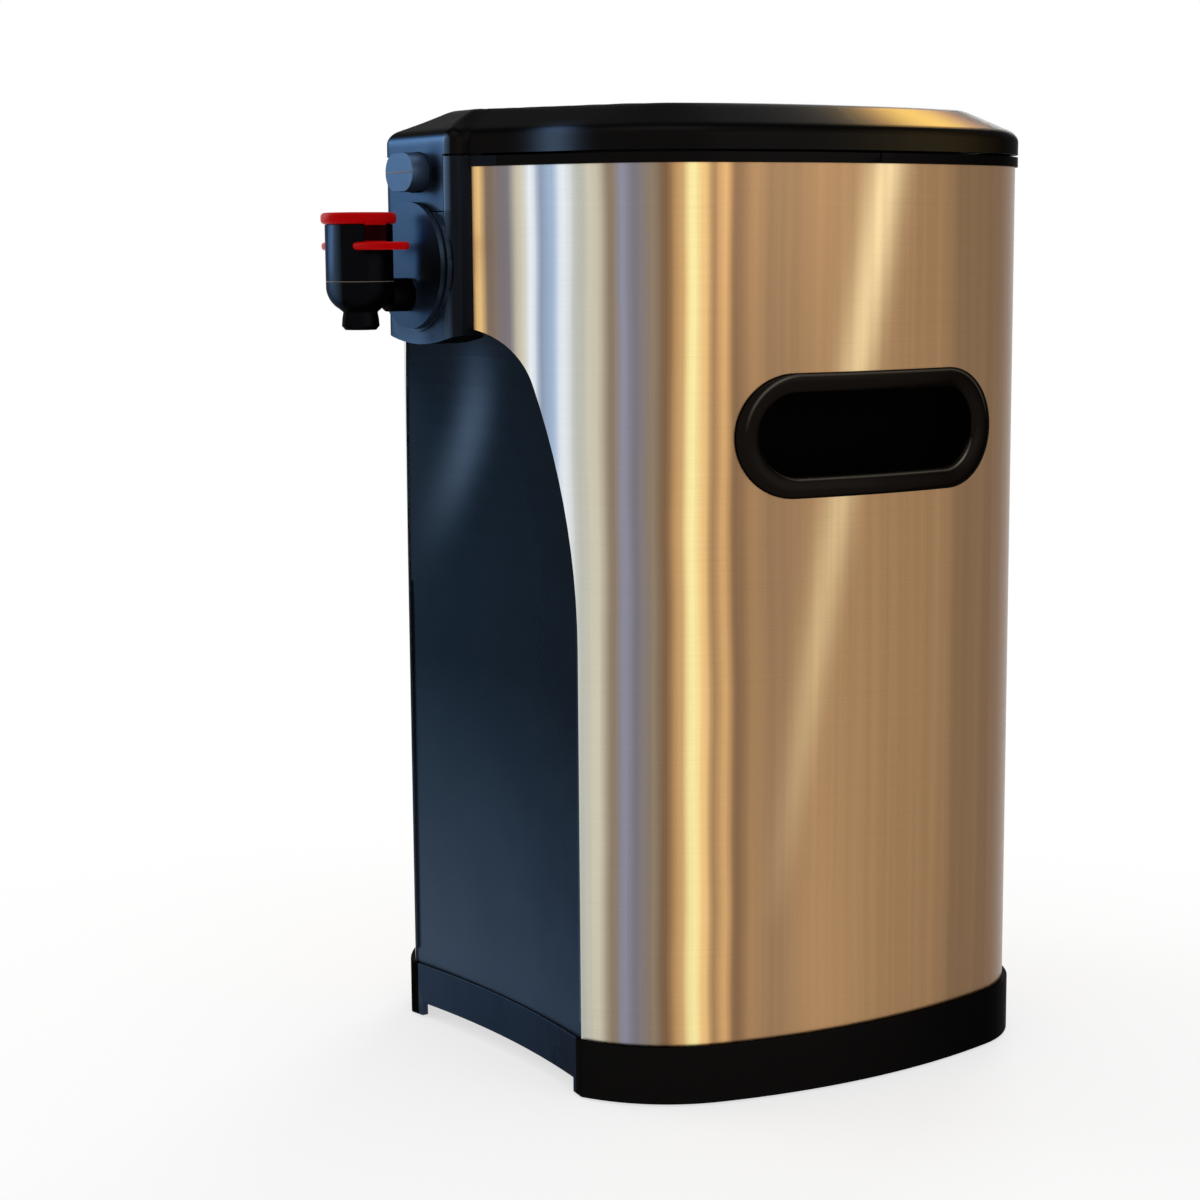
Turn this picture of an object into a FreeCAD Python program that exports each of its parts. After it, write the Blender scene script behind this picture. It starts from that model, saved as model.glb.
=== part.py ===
import FreeCAD, Part
import math
import os

import Sketcher

# A free-standing dispenser for a bag of wine. A sprung platform keeps the bag pressed against the lid,
# so that no air reaches the wine, and the bag's own press tap stands out of the column at the front.
#
# Drawing frame: X to the right, Z up, Y from the front to the back with Y = 0 at the two front horns
# of the base. Each sub-part's placement then moves it by frame_shift, which puts the origin under the
# middle of the whole object's box. Sizes are millimetres and degrees.

Vector = FreeCAD.Vector
Rotation = FreeCAD.Rotation
Placement = FreeCAD.Placement

DIMENSIONS = {
    # Plan of the body, as arcs that run on into each other: a blunt nose behind the column, a straight
    # run on each side of it, the front corner, the long side, the back corner and the back.
    "nose_radius": 53.0,
    "nose_centre": 27.8,
    "front_angle": 28.0,
    "corner_radius": 63.0,
    "side_radius": 244.0,
    "half_width": 106.0,
    "widest_at": 114.0,
    "back_corner_radius": 38.0,
    "back_radius": 450.0,
    "back_at": 196.0,
    # Heights of the main joints between the pieces.
    "skirt_foot": 0.7,
    "base_top": 22.0,
    "steel_height": 315.0,
    "collar_height": 3.6,
    "lid_gap": 0.9,
    "lid_rim": 7.5,
    "lid_rise": 9.4,
    # Base.
    "skirt_proud": 1.9,
    "skirt_wall": 2.6,
    "skirt_front_proud": 1.2,
    "skirt_arch": 5.4,
    "skirt_arch_half": 55.0,
    "base_floor_low": 15.8,
    "base_floor_top": 19.0,
    "base_lip": 5.0,
    "foot_radius": 9.0,
    "foot_height": 3.2,
    "foot_half_width": 62.0,
    "foot_front": 42.0,
    "foot_back": 150.0,
    # Steel wrap and the scoop that is cut in its front for the glass.
    "steel_thick": 0.8,
    "scoop_half_width": 60.3,
    "scoop_depth": 4.6,
    "scoop_spring_line": 166.0,
    "scoop_side_radius": 300.0,
    "scoop_crown_radius": 29.0,
    "scoop_top": 280.2,
    "panel_thick": 2.4,
    "panel_gap": 0.2,
    # Spout column.
    "column_half_width": 24.0,
    "column_face": 28.3,
    "column_back": 14.0,
    "strike_inner": 14.3,
    "strike_outer": 18.9,
    "column_foot_side": 277.4,
    "column_foot_middle": 273.9,
    "column_wall": 3.0,
    "column_round": 4.5,
    "wing_half_width": 34.0,
    "tongue_half_width": 19.1,
    "tongue_foot": 321.5,
    "tongue_gap": 0.35,
    "boss_radius": 23.8,
    "boss_proud": 1.4,
    # Tap.
    "tap_axis": 52.1,
    "spout_height": 302.3,
    "disc_radius": 22.75,
    "disc_face": 31.9,
    "barrel_radius": 12.1,
    "barrel_bore": 9.7,
    "barrel_top": 319.6,
    "barrel_floor": 297.4,
    "dome_start": 293.4,
    "neck_height": 286.0,
    "neck_radius": 6.15,
    "nozzle_radius": 6.75,
    "nozzle_foot": 279.7,
    "nozzle_bore": 4.5,
    "pipe_height": 291.9,
    "pipe_radius": 6.0,
    "pipe_bore": 3.6,
    "rim_radius": 13.5,
    "rim_foot": 317.1,
    "rim_top": 321.2,
    "rim_lip_radius": 10.3,
    "rim_round": 1.5,
    "valve_seat": 287.0,
    "stem_radius": 1.6,
    "wing_height": 309.4,
    "wing_thick": 2.8,
    "wing_reach": 26.0,
    "wing_depth": 10.7,
    "wing_back": 2.3,
    "wing_round": 1.15,
    "leg_half_width": 4.2,
    "leg_thick": 1.1,
    "handle_gap": 0.08,
    "tap_travel": 4.0,
    "gland_radius": 13.1,
    "gland_flange_radius": 17.5,
    "gland_tail_radius": 11.5,
    "gland_back": 6.0,
    # Collar.
    "collar_proud": 1.0,
    "deck_thick": 2.4,
    "lip_thick": 2.0,
    "lip_drop": 7.0,
    "fit_gap": 0.1,
    # Lid.
    "lid_slope_width": 21.0,
    "lid_wall": 2.2,
    "bump_wall_depth": 12.5,
    "hip_depth": 44.0,
    "hip_round": 1.5,
    "lid_travel": 90.0,
    "plate_low": 343.0,
    "plate_thick": 2.0,
    "plug_low": 334.0,
    "plug_floor": 2.0,
    "lid_boss_top": 356.6,
    "button_half_length": 9.8,
    "button_half_height": 6.9,
    "button_height": 335.5,
    "button_proud": 7.0,
    "button_travel": 3.0,
    # Bag chamber.
    "liner_half_width": 77.5,
    "liner_front": 11.5,
    "liner_back": 175.0,
    "liner_corner": 28.0,
    "liner_wall": 1.6,
    "liner_floor": 2.0,
    "neck_half_width": 22.0,
    "slot_half_width": 8.0,
    "slot_low": 25.0,
    "slot_high": 300.0,
    # Side handles.
    "handle_at": 100.0,
    "handle_height": 241.6,
    "bezel_length": 113.5,
    "bezel_width": 44.5,
    "bezel_proud": 2.3,
    "grip_length": 95.4,
    "grip_width": 29.6,
    "grip_floor": 87.6,
    "cup_wall": 1.7,
    # Lifting platform and its two constant-force springs.
    "platform_low": 30.0,
    "platform_thick": 4.0,
    "pad_thick": 2.5,
    "platform_gap": 1.6,
    "platform_travel": 245.0,
    "arm_half_width": 6.8,
    "spring_at": 100.0,
    "coil_radius": 9.0,
    "coil_width": 12.0,
    "coil_x": 89.0,
    "coil_height": 316.0,
    "hub_radius": 4.2,
    "pin_radius": 2.0,
    "strip_thick": 0.4,
    "strip_x": 79.3,
    "bracket_thick": 1.2,
    "bracket_half_width": 12.0,
    "bracket_low": 305.0,
    "bracket_high": 334.0,
    # Catch that holds the platform down while a bag is put in.
    "catch_half_width": 7.0,
    "catch_pivot_y": 178.5,
    "catch_pivot_z": 50.8,
    "catch_pin_radius": 1.5,
    # Screws.
    "plug_radius": 1.9,
    "screw_radius": 1.75,
    "screw_head_radius": 3.4,
    "screw_head": 1.6,
    "screw_length": 9.6,
    "screw_half_width": 40.0,
    "screw_front": 34.0,
    "screw_back": 152.0,
    "small_screw_radius": 1.2,
    "lid_screw_half_width": 58.0,
    "lid_screw_front": 45.0,
    "lid_screw_back": 142.0,
}


class Size:
    """A length from the sheet: its number now, and the expression that keeps a piece bound to it."""

    def __init__(self, value, text):
        self.value = value
        self.text = text

    def __add__(self, other):
        other = size(other)
        return Size(self.value + other.value, "(%s + %s)" % (self.text, other.text))

    def __radd__(self, other):
        return size(other) + self

    def __sub__(self, other):
        other = size(other)
        return Size(self.value - other.value, "(%s - %s)" % (self.text, other.text))

    def __rsub__(self, other):
        return size(other) - self

    def __mul__(self, number):
        return Size(self.value * number, "(%s * %s)" % (self.text, number))

    __rmul__ = __mul__

    def __neg__(self):
        return Size(-self.value, "(0 - %s)" % self.text)


def size(value):
    """A Size as it is, or a plain number made one."""
    if isinstance(value, Size):
        return value
    return Size(float(value), "(%s)" % value)


def dim(name):
    """A driving dimension of the sheet."""
    return Size(DIMENSIONS[name], "Dims.%s" % name)


def make_sheet(doc):
    """The sheet of driving dimensions, one row each: its name, its number and its alias."""
    sheet = doc.addObject("Spreadsheet::Sheet", "Dims")
    for row, (name, value) in enumerate(DIMENSIONS.items(), start=1):
        sheet.set("A%d" % row, name)
        sheet.set("B%d" % row, str(value))
        sheet.setAlias("B%d" % row, name)
    doc.recompute()
    return sheet


# The distance from the horns to the middle of the whole object, from the tap's rim to the back.
DIMENSIONS["frame_shift"] = (
    DIMENSIONS["back_at"] + DIMENSIONS["skirt_proud"] - DIMENSIONS["tap_axis"] - DIMENSIONS["rim_radius"]
) / 2.0

DOC = FreeCAD.newDocument("WineDispenser")
SHEET = make_sheet(DOC)
SHIFT = dim("frame_shift")

# How far a cutter or a joined piece runs past the face that it meets, and the play of a plug or head in its seat.
OVER = 1.0
LOOSE = 0.1

BASE_TOP = dim("base_top")
STEEL_TOP = BASE_TOP + dim("steel_height")
COLLAR_TOP = STEEL_TOP + dim("collar_height")
DECK_LOW = COLLAR_TOP - dim("deck_thick")
LID_LOW = COLLAR_TOP + dim("lid_gap")
LID_SHOULDER = LID_LOW + dim("lid_rim")
LID_TOP = LID_SHOULDER + dim("lid_rise")

SUBPARTS = []


def keep(shape_object, label):
    """Names a finished sub-part and puts it on the list of those that are written."""
    shape_object.Label = label
    SUBPARTS.append(shape_object)
    return shape_object


def bind(thing, prop, value):
    """Binds one property to an expression on the sheet."""
    thing.setExpression(prop, size(value).text)


# Primitives and booleans


def box(name, x_span, y_span, z_span):
    """A box from its spans along the three axes."""
    block = DOC.addObject("Part::Box", name)
    for prop, span in zip(("Length", "Width", "Height"), (x_span, y_span, z_span)):
        bind(block, prop, size(span[1]) - span[0])
    bind(block, "Placement.Base.x", x_span[0])
    bind(block, "Placement.Base.y", size(y_span[0]) - SHIFT)
    bind(block, "Placement.Base.z", z_span[0])
    return block


TURN_TO = {
    "x": Rotation(Vector(0, 1, 0), 90),
    "y": Rotation(Vector(1, 0, 0), -90),
    "z": Rotation(),
}


def cylinder(name, axis, radius, start, length):
    """A cylinder of the given radius that runs from its start point along x, y or z."""
    rod = DOC.addObject("Part::Cylinder", name)
    rod.Placement = Placement(Vector(0, 0, 0), TURN_TO[axis])
    bind(rod, "Radius", radius)
    bind(rod, "Height", length)
    bind(rod, "Placement.Base.x", start[0])
    bind(rod, "Placement.Base.y", size(start[1]) - SHIFT)
    bind(rod, "Placement.Base.z", start[2])
    return rod


def cut(name, base, tools, refine=True):
    """The base with every tool taken out of it, one after the other, with or without its flush faces joined."""
    result = base
    for number, tool in enumerate(tools):
        step = DOC.addObject("Part::Cut", "%s_cut%d" % (name, number))
        step.Base = result
        step.Tool = tool
        step.Refine = refine
        result = step
    return result


def fuse(name, pieces):
    """Touching or crossing pieces as one solid."""
    joined = DOC.addObject("Part::MultiFuse", "%s_fuse" % name)
    joined.Shapes = pieces
    joined.Refine = True
    return joined


def common(name, first, second):
    """What two shapes share."""
    shared = DOC.addObject("Part::Common", "%s_common" % name)
    shared.Base = first
    shared.Tool = second
    return shared


def group(name, pieces):
    """Like pieces that stay separate solids in one sub-part."""
    together = DOC.addObject("Part::Compound", "%s_group" % name)
    together.Links = pieces
    return together


# Bodies and sketches


def new_body(name):
    """An empty body that stands in the object's frame."""
    body = DOC.addObject("PartDesign::Body", name)
    bind(body, "Placement.Base.y", -SHIFT)
    return body


def new_sketch(body, name, role, offset=0.0):
    """A sketch on one of the body's own origin planes, moved along that plane's normal."""
    plane = next(f for f in body.Origin.OriginFeatures if f.Role == role)
    sketch = body.newObject("Sketcher::SketchObject", "%s_%s" % (body.Name, name))
    sketch.AttachmentSupport = [(plane, "")]
    sketch.MapMode = "FlatFace"
    bind(sketch, "AttachmentOffset.Base.z", offset)
    return sketch


def hold(sketch, kind, where, value):
    """Adds one dimension to a sketch and binds it."""
    value = size(value)
    number = math.radians(value.value) if kind == "Angle" else value.value
    index = sketch.addConstraint(Sketcher.Constraint(kind, *where, number))
    sketch.setExpression("Constraints[%d]" % index, value.text)


def hold_point(sketch, geometry, point, x, y):
    """Places one point of a sketch by its two coordinates; a zero puts it on the axis."""
    x, y = size(x), size(y)
    if x.value == 0.0:
        sketch.addConstraint(Sketcher.Constraint("PointOnObject", geometry, point, -2))
    else:
        hold(sketch, "DistanceX", (-1, 1, geometry, point), x)
    if y.value == 0.0:
        sketch.addConstraint(Sketcher.Constraint("PointOnObject", geometry, point, -1))
    else:
        hold(sketch, "DistanceY", (-1, 1, geometry, point), y)


def draw_circle(sketch, x, y, radius):
    """A circle by its centre and radius."""
    x, y, radius = size(x), size(y), size(radius)
    circle = Part.Circle(Vector(x.value, y.value, 0), Vector(0, 0, 1), radius.value)
    index = sketch.addGeometry(circle)
    hold_point(sketch, index, 3, x, y)
    hold(sketch, "Radius", (index,), radius)


def draw_polygon(sketch, corners):
    """A closed run of straight lines through corners, each held by its coordinates."""
    spots = [Vector(size(x).value, size(y).value, 0) for x, y in corners]
    count = len(spots)
    lines = [sketch.addGeometry(Part.LineSegment(spots[i], spots[(i + 1) % count])) for i in range(count)]
    for i in range(count):
        sketch.addConstraint(Sketcher.Constraint("Coincident", lines[i], 2, lines[(i + 1) % count], 1))
    for line, (x, y) in zip(lines, corners):
        hold_point(sketch, line, 1, x, y)


def draw_rectangle(sketch, x_span, y_span):
    """A rectangle from its two spans."""
    corners = [(x_span[0], y_span[0]), (x_span[1], y_span[0]), (x_span[1], y_span[1]), (x_span[0], y_span[1])]
    draw_polygon(sketch, corners)


def arc_of(centre, radius, start, end):
    """A counter-clockwise arc between two directions in degrees."""
    circle = Part.Circle(Vector(centre[0], centre[1], 0), Vector(0, 0, 1), radius)
    return Part.ArcOfCircle(circle, math.radians(start), math.radians(end))


def join_smooth(sketch, pieces):
    """Makes each piece of a closed run tangent to the next, end to start."""
    for first, second in zip(pieces, pieces[1:] + pieces[:1]):
        sketch.addConstraint(Sketcher.Constraint("Tangent", first, 2, second, 1))


def draw_stadium(sketch, x, y, length, width):
    """A slot shape with half-round ends, its length along the sketch's X."""
    x, y, length, width = size(x), size(y), size(length), size(width)
    reach = (length.value - width.value) / 2.0
    radius = width.value / 2.0
    left = (x.value - reach, y.value)
    right = (x.value + reach, y.value)
    pieces = [
        Part.LineSegment(Vector(left[0], y.value - radius, 0), Vector(right[0], y.value - radius, 0)),
        arc_of(right, radius, -90, 90),
        Part.LineSegment(Vector(right[0], y.value + radius, 0), Vector(left[0], y.value + radius, 0)),
        arc_of(left, radius, 90, 270),
    ]
    lines = [sketch.addGeometry(piece) for piece in pieces]
    join_smooth(sketch, lines)
    hold(sketch, "Radius", (lines[1],), width * 0.5)
    hold_point(sketch, lines[1], 3, x + length * 0.5 - width * 0.5, y)
    hold_point(sketch, lines[3], 3, x - length * 0.5 + width * 0.5, y)


def draw_round_box(sketch, half_width, y_span, radius):
    """A rectangle with round corners, the same on both sides of the middle."""
    half_width, low, high, radius = size(half_width), size(y_span[0]), size(y_span[1]), size(radius)
    a = half_width.value - radius.value
    y0, y1, r = low.value, high.value, radius.value
    pieces = [
        Part.LineSegment(Vector(-a, y0, 0), Vector(a, y0, 0)),
        arc_of((a, y0 + r), r, -90, 0),
        Part.LineSegment(Vector(a + r, y0 + r, 0), Vector(a + r, y1 - r, 0)),
        arc_of((a, y1 - r), r, 0, 90),
        Part.LineSegment(Vector(a, y1, 0), Vector(-a, y1, 0)),
        arc_of((-a, y1 - r), r, 90, 180),
        Part.LineSegment(Vector(-a - r, y1 - r, 0), Vector(-a - r, y0 + r, 0)),
        arc_of((-a, y0 + r), r, 180, 270),
    ]
    lines = [sketch.addGeometry(piece) for piece in pieces]
    join_smooth(sketch, lines)
    for corner in (1, 3, 5, 7):
        hold(sketch, "Radius", (lines[corner],), radius)
    hold_point(sketch, lines[1], 3, half_width - radius, low + radius)
    hold_point(sketch, lines[5], 3, radius - half_width, high - radius)


def pad(body, name, sketch, length, reverse=False, middle=False):
    """Adds material along the sketch's normal."""
    feature = body.newObject("PartDesign::Pad", "%s_%s" % (body.Name, name))
    feature.Profile = sketch
    feature.Reversed = reverse
    feature.SideType = "Symmetric" if middle else "One side"
    bind(feature, "Length", length)
    return feature


def pocket(body, name, sketch, length, reverse=False, middle=False):
    """Takes material away, and stops if nothing was taken."""
    DOC.recompute()
    before = body.Shape.Volume
    feature = body.newObject("PartDesign::Pocket", "%s_%s" % (body.Name, name))
    feature.Profile = sketch
    feature.Reversed = reverse
    feature.SideType = "Symmetric" if middle else "One side"
    bind(feature, "Length", length)
    DOC.recompute()
    if body.Shape.Volume > before - 0.01:
        raise RuntimeError("pocket %s takes nothing away" % feature.Name)
    return feature


# The plan of the body


class Plan:
    """Centres and junction directions of the arcs of the body's plan, worked out from the sheet."""

    def __init__(self):
        value = DIMENSIONS
        self.tilt = value["front_angle"]
        self.nose = (0.0, value["nose_centre"])
        self.side = (value["half_width"] - value["side_radius"], value["widest_at"])
        self.back = (0.0, value["back_at"] - value["back_radius"])
        tilt = math.radians(self.tilt)
        normal = Vector(math.sin(tilt), -math.cos(tilt), 0)
        along = Vector(math.cos(tilt), math.sin(tilt), 0)
        line = value["nose_radius"] - self.nose[1] * math.cos(tilt)
        foot = normal * (line - value["corner_radius"]) - Vector(self.side[0], self.side[1], 0)
        reach = value["side_radius"] - value["corner_radius"]
        half = foot.dot(along)
        step = -half + math.sqrt(half * half - foot.dot(foot) + reach * reach)
        corner = normal * (line - value["corner_radius"]) + along * step
        self.corner = (corner.x, corner.y)
        self.corner_turn = self.direction(self.side, self.corner)
        from_back = value["back_radius"] - value["back_corner_radius"]
        from_side = value["side_radius"] - value["back_corner_radius"]
        apart = math.dist(self.back, self.side)
        along_line = (from_back ** 2 - from_side ** 2 + apart ** 2) / (2 * apart)
        across = math.sqrt(from_back ** 2 - along_line ** 2)
        unit = ((self.side[0] - self.back[0]) / apart, (self.side[1] - self.back[1]) / apart)
        self.back_corner = (
            self.back[0] + along_line * unit[0] + across * unit[1],
            self.back[1] + along_line * unit[1] - across * unit[0],
        )
        self.side_turn = self.direction(self.side, self.back_corner)
        self.back_turn = self.direction(self.back, self.back_corner)

    @staticmethod
    def direction(start, end):
        """The direction from one point to another, in degrees."""
        return math.degrees(math.atan2(end[1] - start[1], end[0] - start[0]))

    def front_y(self, x, grow=0.0):
        """The plan's front edge at a distance x from the middle, for an outline grown by grow."""
        x = abs(x)
        tilt = math.radians(self.tilt)
        nose = DIMENSIONS["nose_radius"] + grow
        if x <= nose * math.sin(tilt):
            return self.nose[1] - math.sqrt(nose * nose - x * x)
        corner = DIMENSIONS["corner_radius"] + grow
        if x >= self.corner[0] + corner * math.sin(tilt):
            return self.corner[1] - math.sqrt(corner * corner - (x - self.corner[0]) ** 2)
        start = (nose * math.sin(tilt), self.nose[1] - nose * math.cos(tilt))
        return start[1] + (x - start[0]) * math.tan(tilt)


PLAN = Plan()


def draw_outline(sketch, grow=0.0):
    """The body's plan, moved outwards by grow: every arc keeps its centre and changes its radius."""
    grow = size(grow)
    g = grow.value
    names = ("nose_radius", "corner_radius", "side_radius", "back_corner_radius", "back_radius")
    nose, corner, side, rear, back = (DIMENSIONS[name] + g for name in names)
    tilt = PLAN.tilt
    slope = math.radians(tilt)
    start = Vector(nose * math.sin(slope), PLAN.nose[1] - nose * math.cos(slope), 0)
    end = Vector(PLAN.corner[0] + corner * math.sin(slope), PLAN.corner[1] - corner * math.cos(slope), 0)

    def mirrored(point):
        return (-point[0], point[1])

    pieces = [
        arc_of(PLAN.nose, nose, -90 - tilt, -90 + tilt),
        Part.LineSegment(start, end),
        arc_of(PLAN.corner, corner, -90 + tilt, PLAN.corner_turn),
        arc_of(PLAN.side, side, PLAN.corner_turn, PLAN.side_turn),
        arc_of(PLAN.back_corner, rear, PLAN.side_turn, PLAN.back_turn),
        arc_of(PLAN.back, back, PLAN.back_turn, 180 - PLAN.back_turn),
        arc_of(mirrored(PLAN.back_corner), rear, 180 - PLAN.back_turn, 180 - PLAN.side_turn),
        arc_of(mirrored(PLAN.side), side, 180 - PLAN.side_turn, 180 - PLAN.corner_turn),
        arc_of(mirrored(PLAN.corner), corner, 180 - PLAN.corner_turn, 270 - tilt),
        Part.LineSegment(Vector(-end.x, end.y, 0), Vector(-start.x, start.y, 0)),
    ]
    lines = [sketch.addGeometry(piece) for piece in pieces]
    join_smooth(sketch, lines)
    hold_point(sketch, lines[0], 3, 0, dim("nose_centre"))
    hold_point(sketch, lines[5], 3, 0, dim("back_at") - dim("back_radius"))
    hold_point(sketch, lines[3], 3, dim("half_width") - dim("side_radius"), dim("widest_at"))
    hold_point(sketch, lines[7], 3, dim("side_radius") - dim("half_width"), dim("widest_at"))
    hold(sketch, "Angle", (lines[1],), dim("front_angle"))
    hold(sketch, "Angle", (lines[9],), -dim("front_angle"))
    for line, name in ((0, 0), (2, 1), (8, 1), (3, 2), (7, 2), (4, 3), (6, 3), (5, 4)):
        hold(sketch, "Radius", (lines[line],), dim(names[name]) + grow)


def outline_ring(name, outer, inner, z_low, height):
    """A body between two grown outlines, or within one where inner is left out."""
    body = new_body(name)
    sketch = new_sketch(body, "plan", "XY_Plane", z_low)
    draw_outline(sketch, outer)
    if inner is not None:
        draw_outline(sketch, inner)
    pad(body, "wall", sketch, height)
    return body


def scoop_half_width(z):
    """Half the width of the scoop's opening at a height, from its side arc and its crown arc."""
    value = DIMENSIONS
    side_centre = value["scoop_half_width"] - value["scoop_side_radius"]
    if z <= value["scoop_spring_line"]:
        return value["scoop_half_width"]
    crown_z = value["scoop_top"] - value["scoop_crown_radius"]
    reach = value["scoop_side_radius"] - value["scoop_crown_radius"]
    crown_x = side_centre + math.sqrt(reach ** 2 - (crown_z - value["scoop_spring_line"]) ** 2)
    rise = value["scoop_side_radius"] / reach * (crown_z - value["scoop_spring_line"])
    if z <= value["scoop_spring_line"] + rise:
        return side_centre + math.sqrt(value["scoop_side_radius"] ** 2 - (z - value["scoop_spring_line"]) ** 2)
    return crown_x + math.sqrt(max(value["scoop_crown_radius"] ** 2 - (z - crown_z) ** 2, 0.0))


def draw_scoop_opening(sketch, foot, chimney_half_width, chimney_top):
    """The front view of the opening in the steel: scoop below, a straight chimney for the column above."""
    value = DIMENSIONS
    half = value["scoop_half_width"]
    spring = value["scoop_spring_line"]
    side_radius = value["scoop_side_radius"]
    crown_radius = value["scoop_crown_radius"]
    crown_z = value["scoop_top"] - crown_radius
    side_x = half - side_radius
    crown_x = side_x + math.sqrt((side_radius - crown_radius) ** 2 - (crown_z - spring) ** 2)
    turn = math.degrees(math.atan2(crown_z - spring, crown_x - side_x))
    chimney = chimney_half_width.value
    reach = math.sqrt(crown_radius ** 2 - (chimney - crown_x) ** 2)
    shoulder = crown_z + reach
    stop = math.degrees(math.atan2(reach, chimney - crown_x))
    top = chimney_top.value
    low = foot.value
    pieces = [
        Part.LineSegment(Vector(-half, low, 0), Vector(half, low, 0)),
        Part.LineSegment(Vector(half, low, 0), Vector(half, spring, 0)),
        arc_of((side_x, spring), side_radius, 0, turn),
        arc_of((crown_x, crown_z), crown_radius, turn, stop),
        Part.LineSegment(Vector(chimney, shoulder, 0), Vector(chimney, top, 0)),
        Part.LineSegment(Vector(chimney, top, 0), Vector(-chimney, top, 0)),
        Part.LineSegment(Vector(-chimney, top, 0), Vector(-chimney, shoulder, 0)),
        arc_of((-crown_x, crown_z), crown_radius, 180 - stop, 180 - turn),
        arc_of((-side_x, spring), side_radius, 180 - turn, 180),
        Part.LineSegment(Vector(-half, spring, 0), Vector(-half, low, 0)),
    ]
    lines = [sketch.addGeometry(piece) for piece in pieces]
    smooth = ((1, 2), (2, 3), (7, 8), (8, 9))
    count = len(lines)
    for i in range(count):
        kind = "Tangent" if (i, (i + 1) % count) in smooth else "Coincident"
        sketch.addConstraint(Sketcher.Constraint(kind, lines[i], 2, lines[(i + 1) % count], 1))
    for upright in (lines[4], lines[6]):
        sketch.addConstraint(Sketcher.Constraint("Vertical", upright))
    hold_point(sketch, lines[0], 1, -dim("scoop_half_width"), foot)
    hold_point(sketch, lines[0], 2, dim("scoop_half_width"), foot)
    hold_point(sketch, lines[2], 3, dim("scoop_half_width") - dim("scoop_side_radius"), dim("scoop_spring_line"))
    hold_point(sketch, lines[8], 3, dim("scoop_side_radius") - dim("scoop_half_width"), dim("scoop_spring_line"))
    for arc in (lines[3], lines[7]):
        hold(sketch, "Radius", (arc,), dim("scoop_crown_radius"))
        hold(sketch, "DistanceY", (-1, 1, arc, 3), dim("scoop_top") - dim("scoop_crown_radius"))
    hold_point(sketch, lines[5], 1, chimney_half_width, chimney_top)
    hold_point(sketch, lines[5], 2, -chimney_half_width, chimney_top)


def make_coil(label, radius, wire, turns, start, axis):
    """A compression spring: one round wire along half-turn arcs, its ends wound on by half a turn each.

    The wire climbs steadily: at turn t it stands at radius times (cos, sin) of a full circle times t,
    and at t over the turns of the whole length along the axis."""
    steps = int(round(turns * 2))
    length = axis.Length
    lift = axis * (1.0 / length)
    across = Vector(1, 0, 0) if abs(lift.x) < 0.5 else Vector(0, 1, 0)
    over = lift.cross(across)

    def spot(turn):
        angle = 2.0 * math.pi * turn
        ring = across * (radius * math.cos(angle)) + over * (radius * math.sin(angle))
        return start + ring + lift * (length * turn / turns)

    arcs = []
    for step in range(steps):
        points = [spot((step + part) / 2.0) for part in (0.0, 0.5, 1.0)]
        arcs.append(Part.Arc(*points).toShape())
    path = Part.Wire(arcs)
    heading = (spot(0.01) - spot(0.0)).normalize()
    ring = Part.Wire([Part.Circle(spot(0.0), heading, wire).toShape()])
    shell = path.makePipeShell([ring], True, False)
    spring = DOC.addObject("Part::Feature", label)
    spring.Shape = Part.Solid(shell) if shell.ShapeType == "Shell" else shell
    spring.Placement = Placement(Vector(0, -SHIFT.value, 0), Rotation())
    print("%s: gap between its turns %.2f mm" % (label, length / turns - 2.0 * wire))
    return keep(spring, label)


# Base


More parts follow.
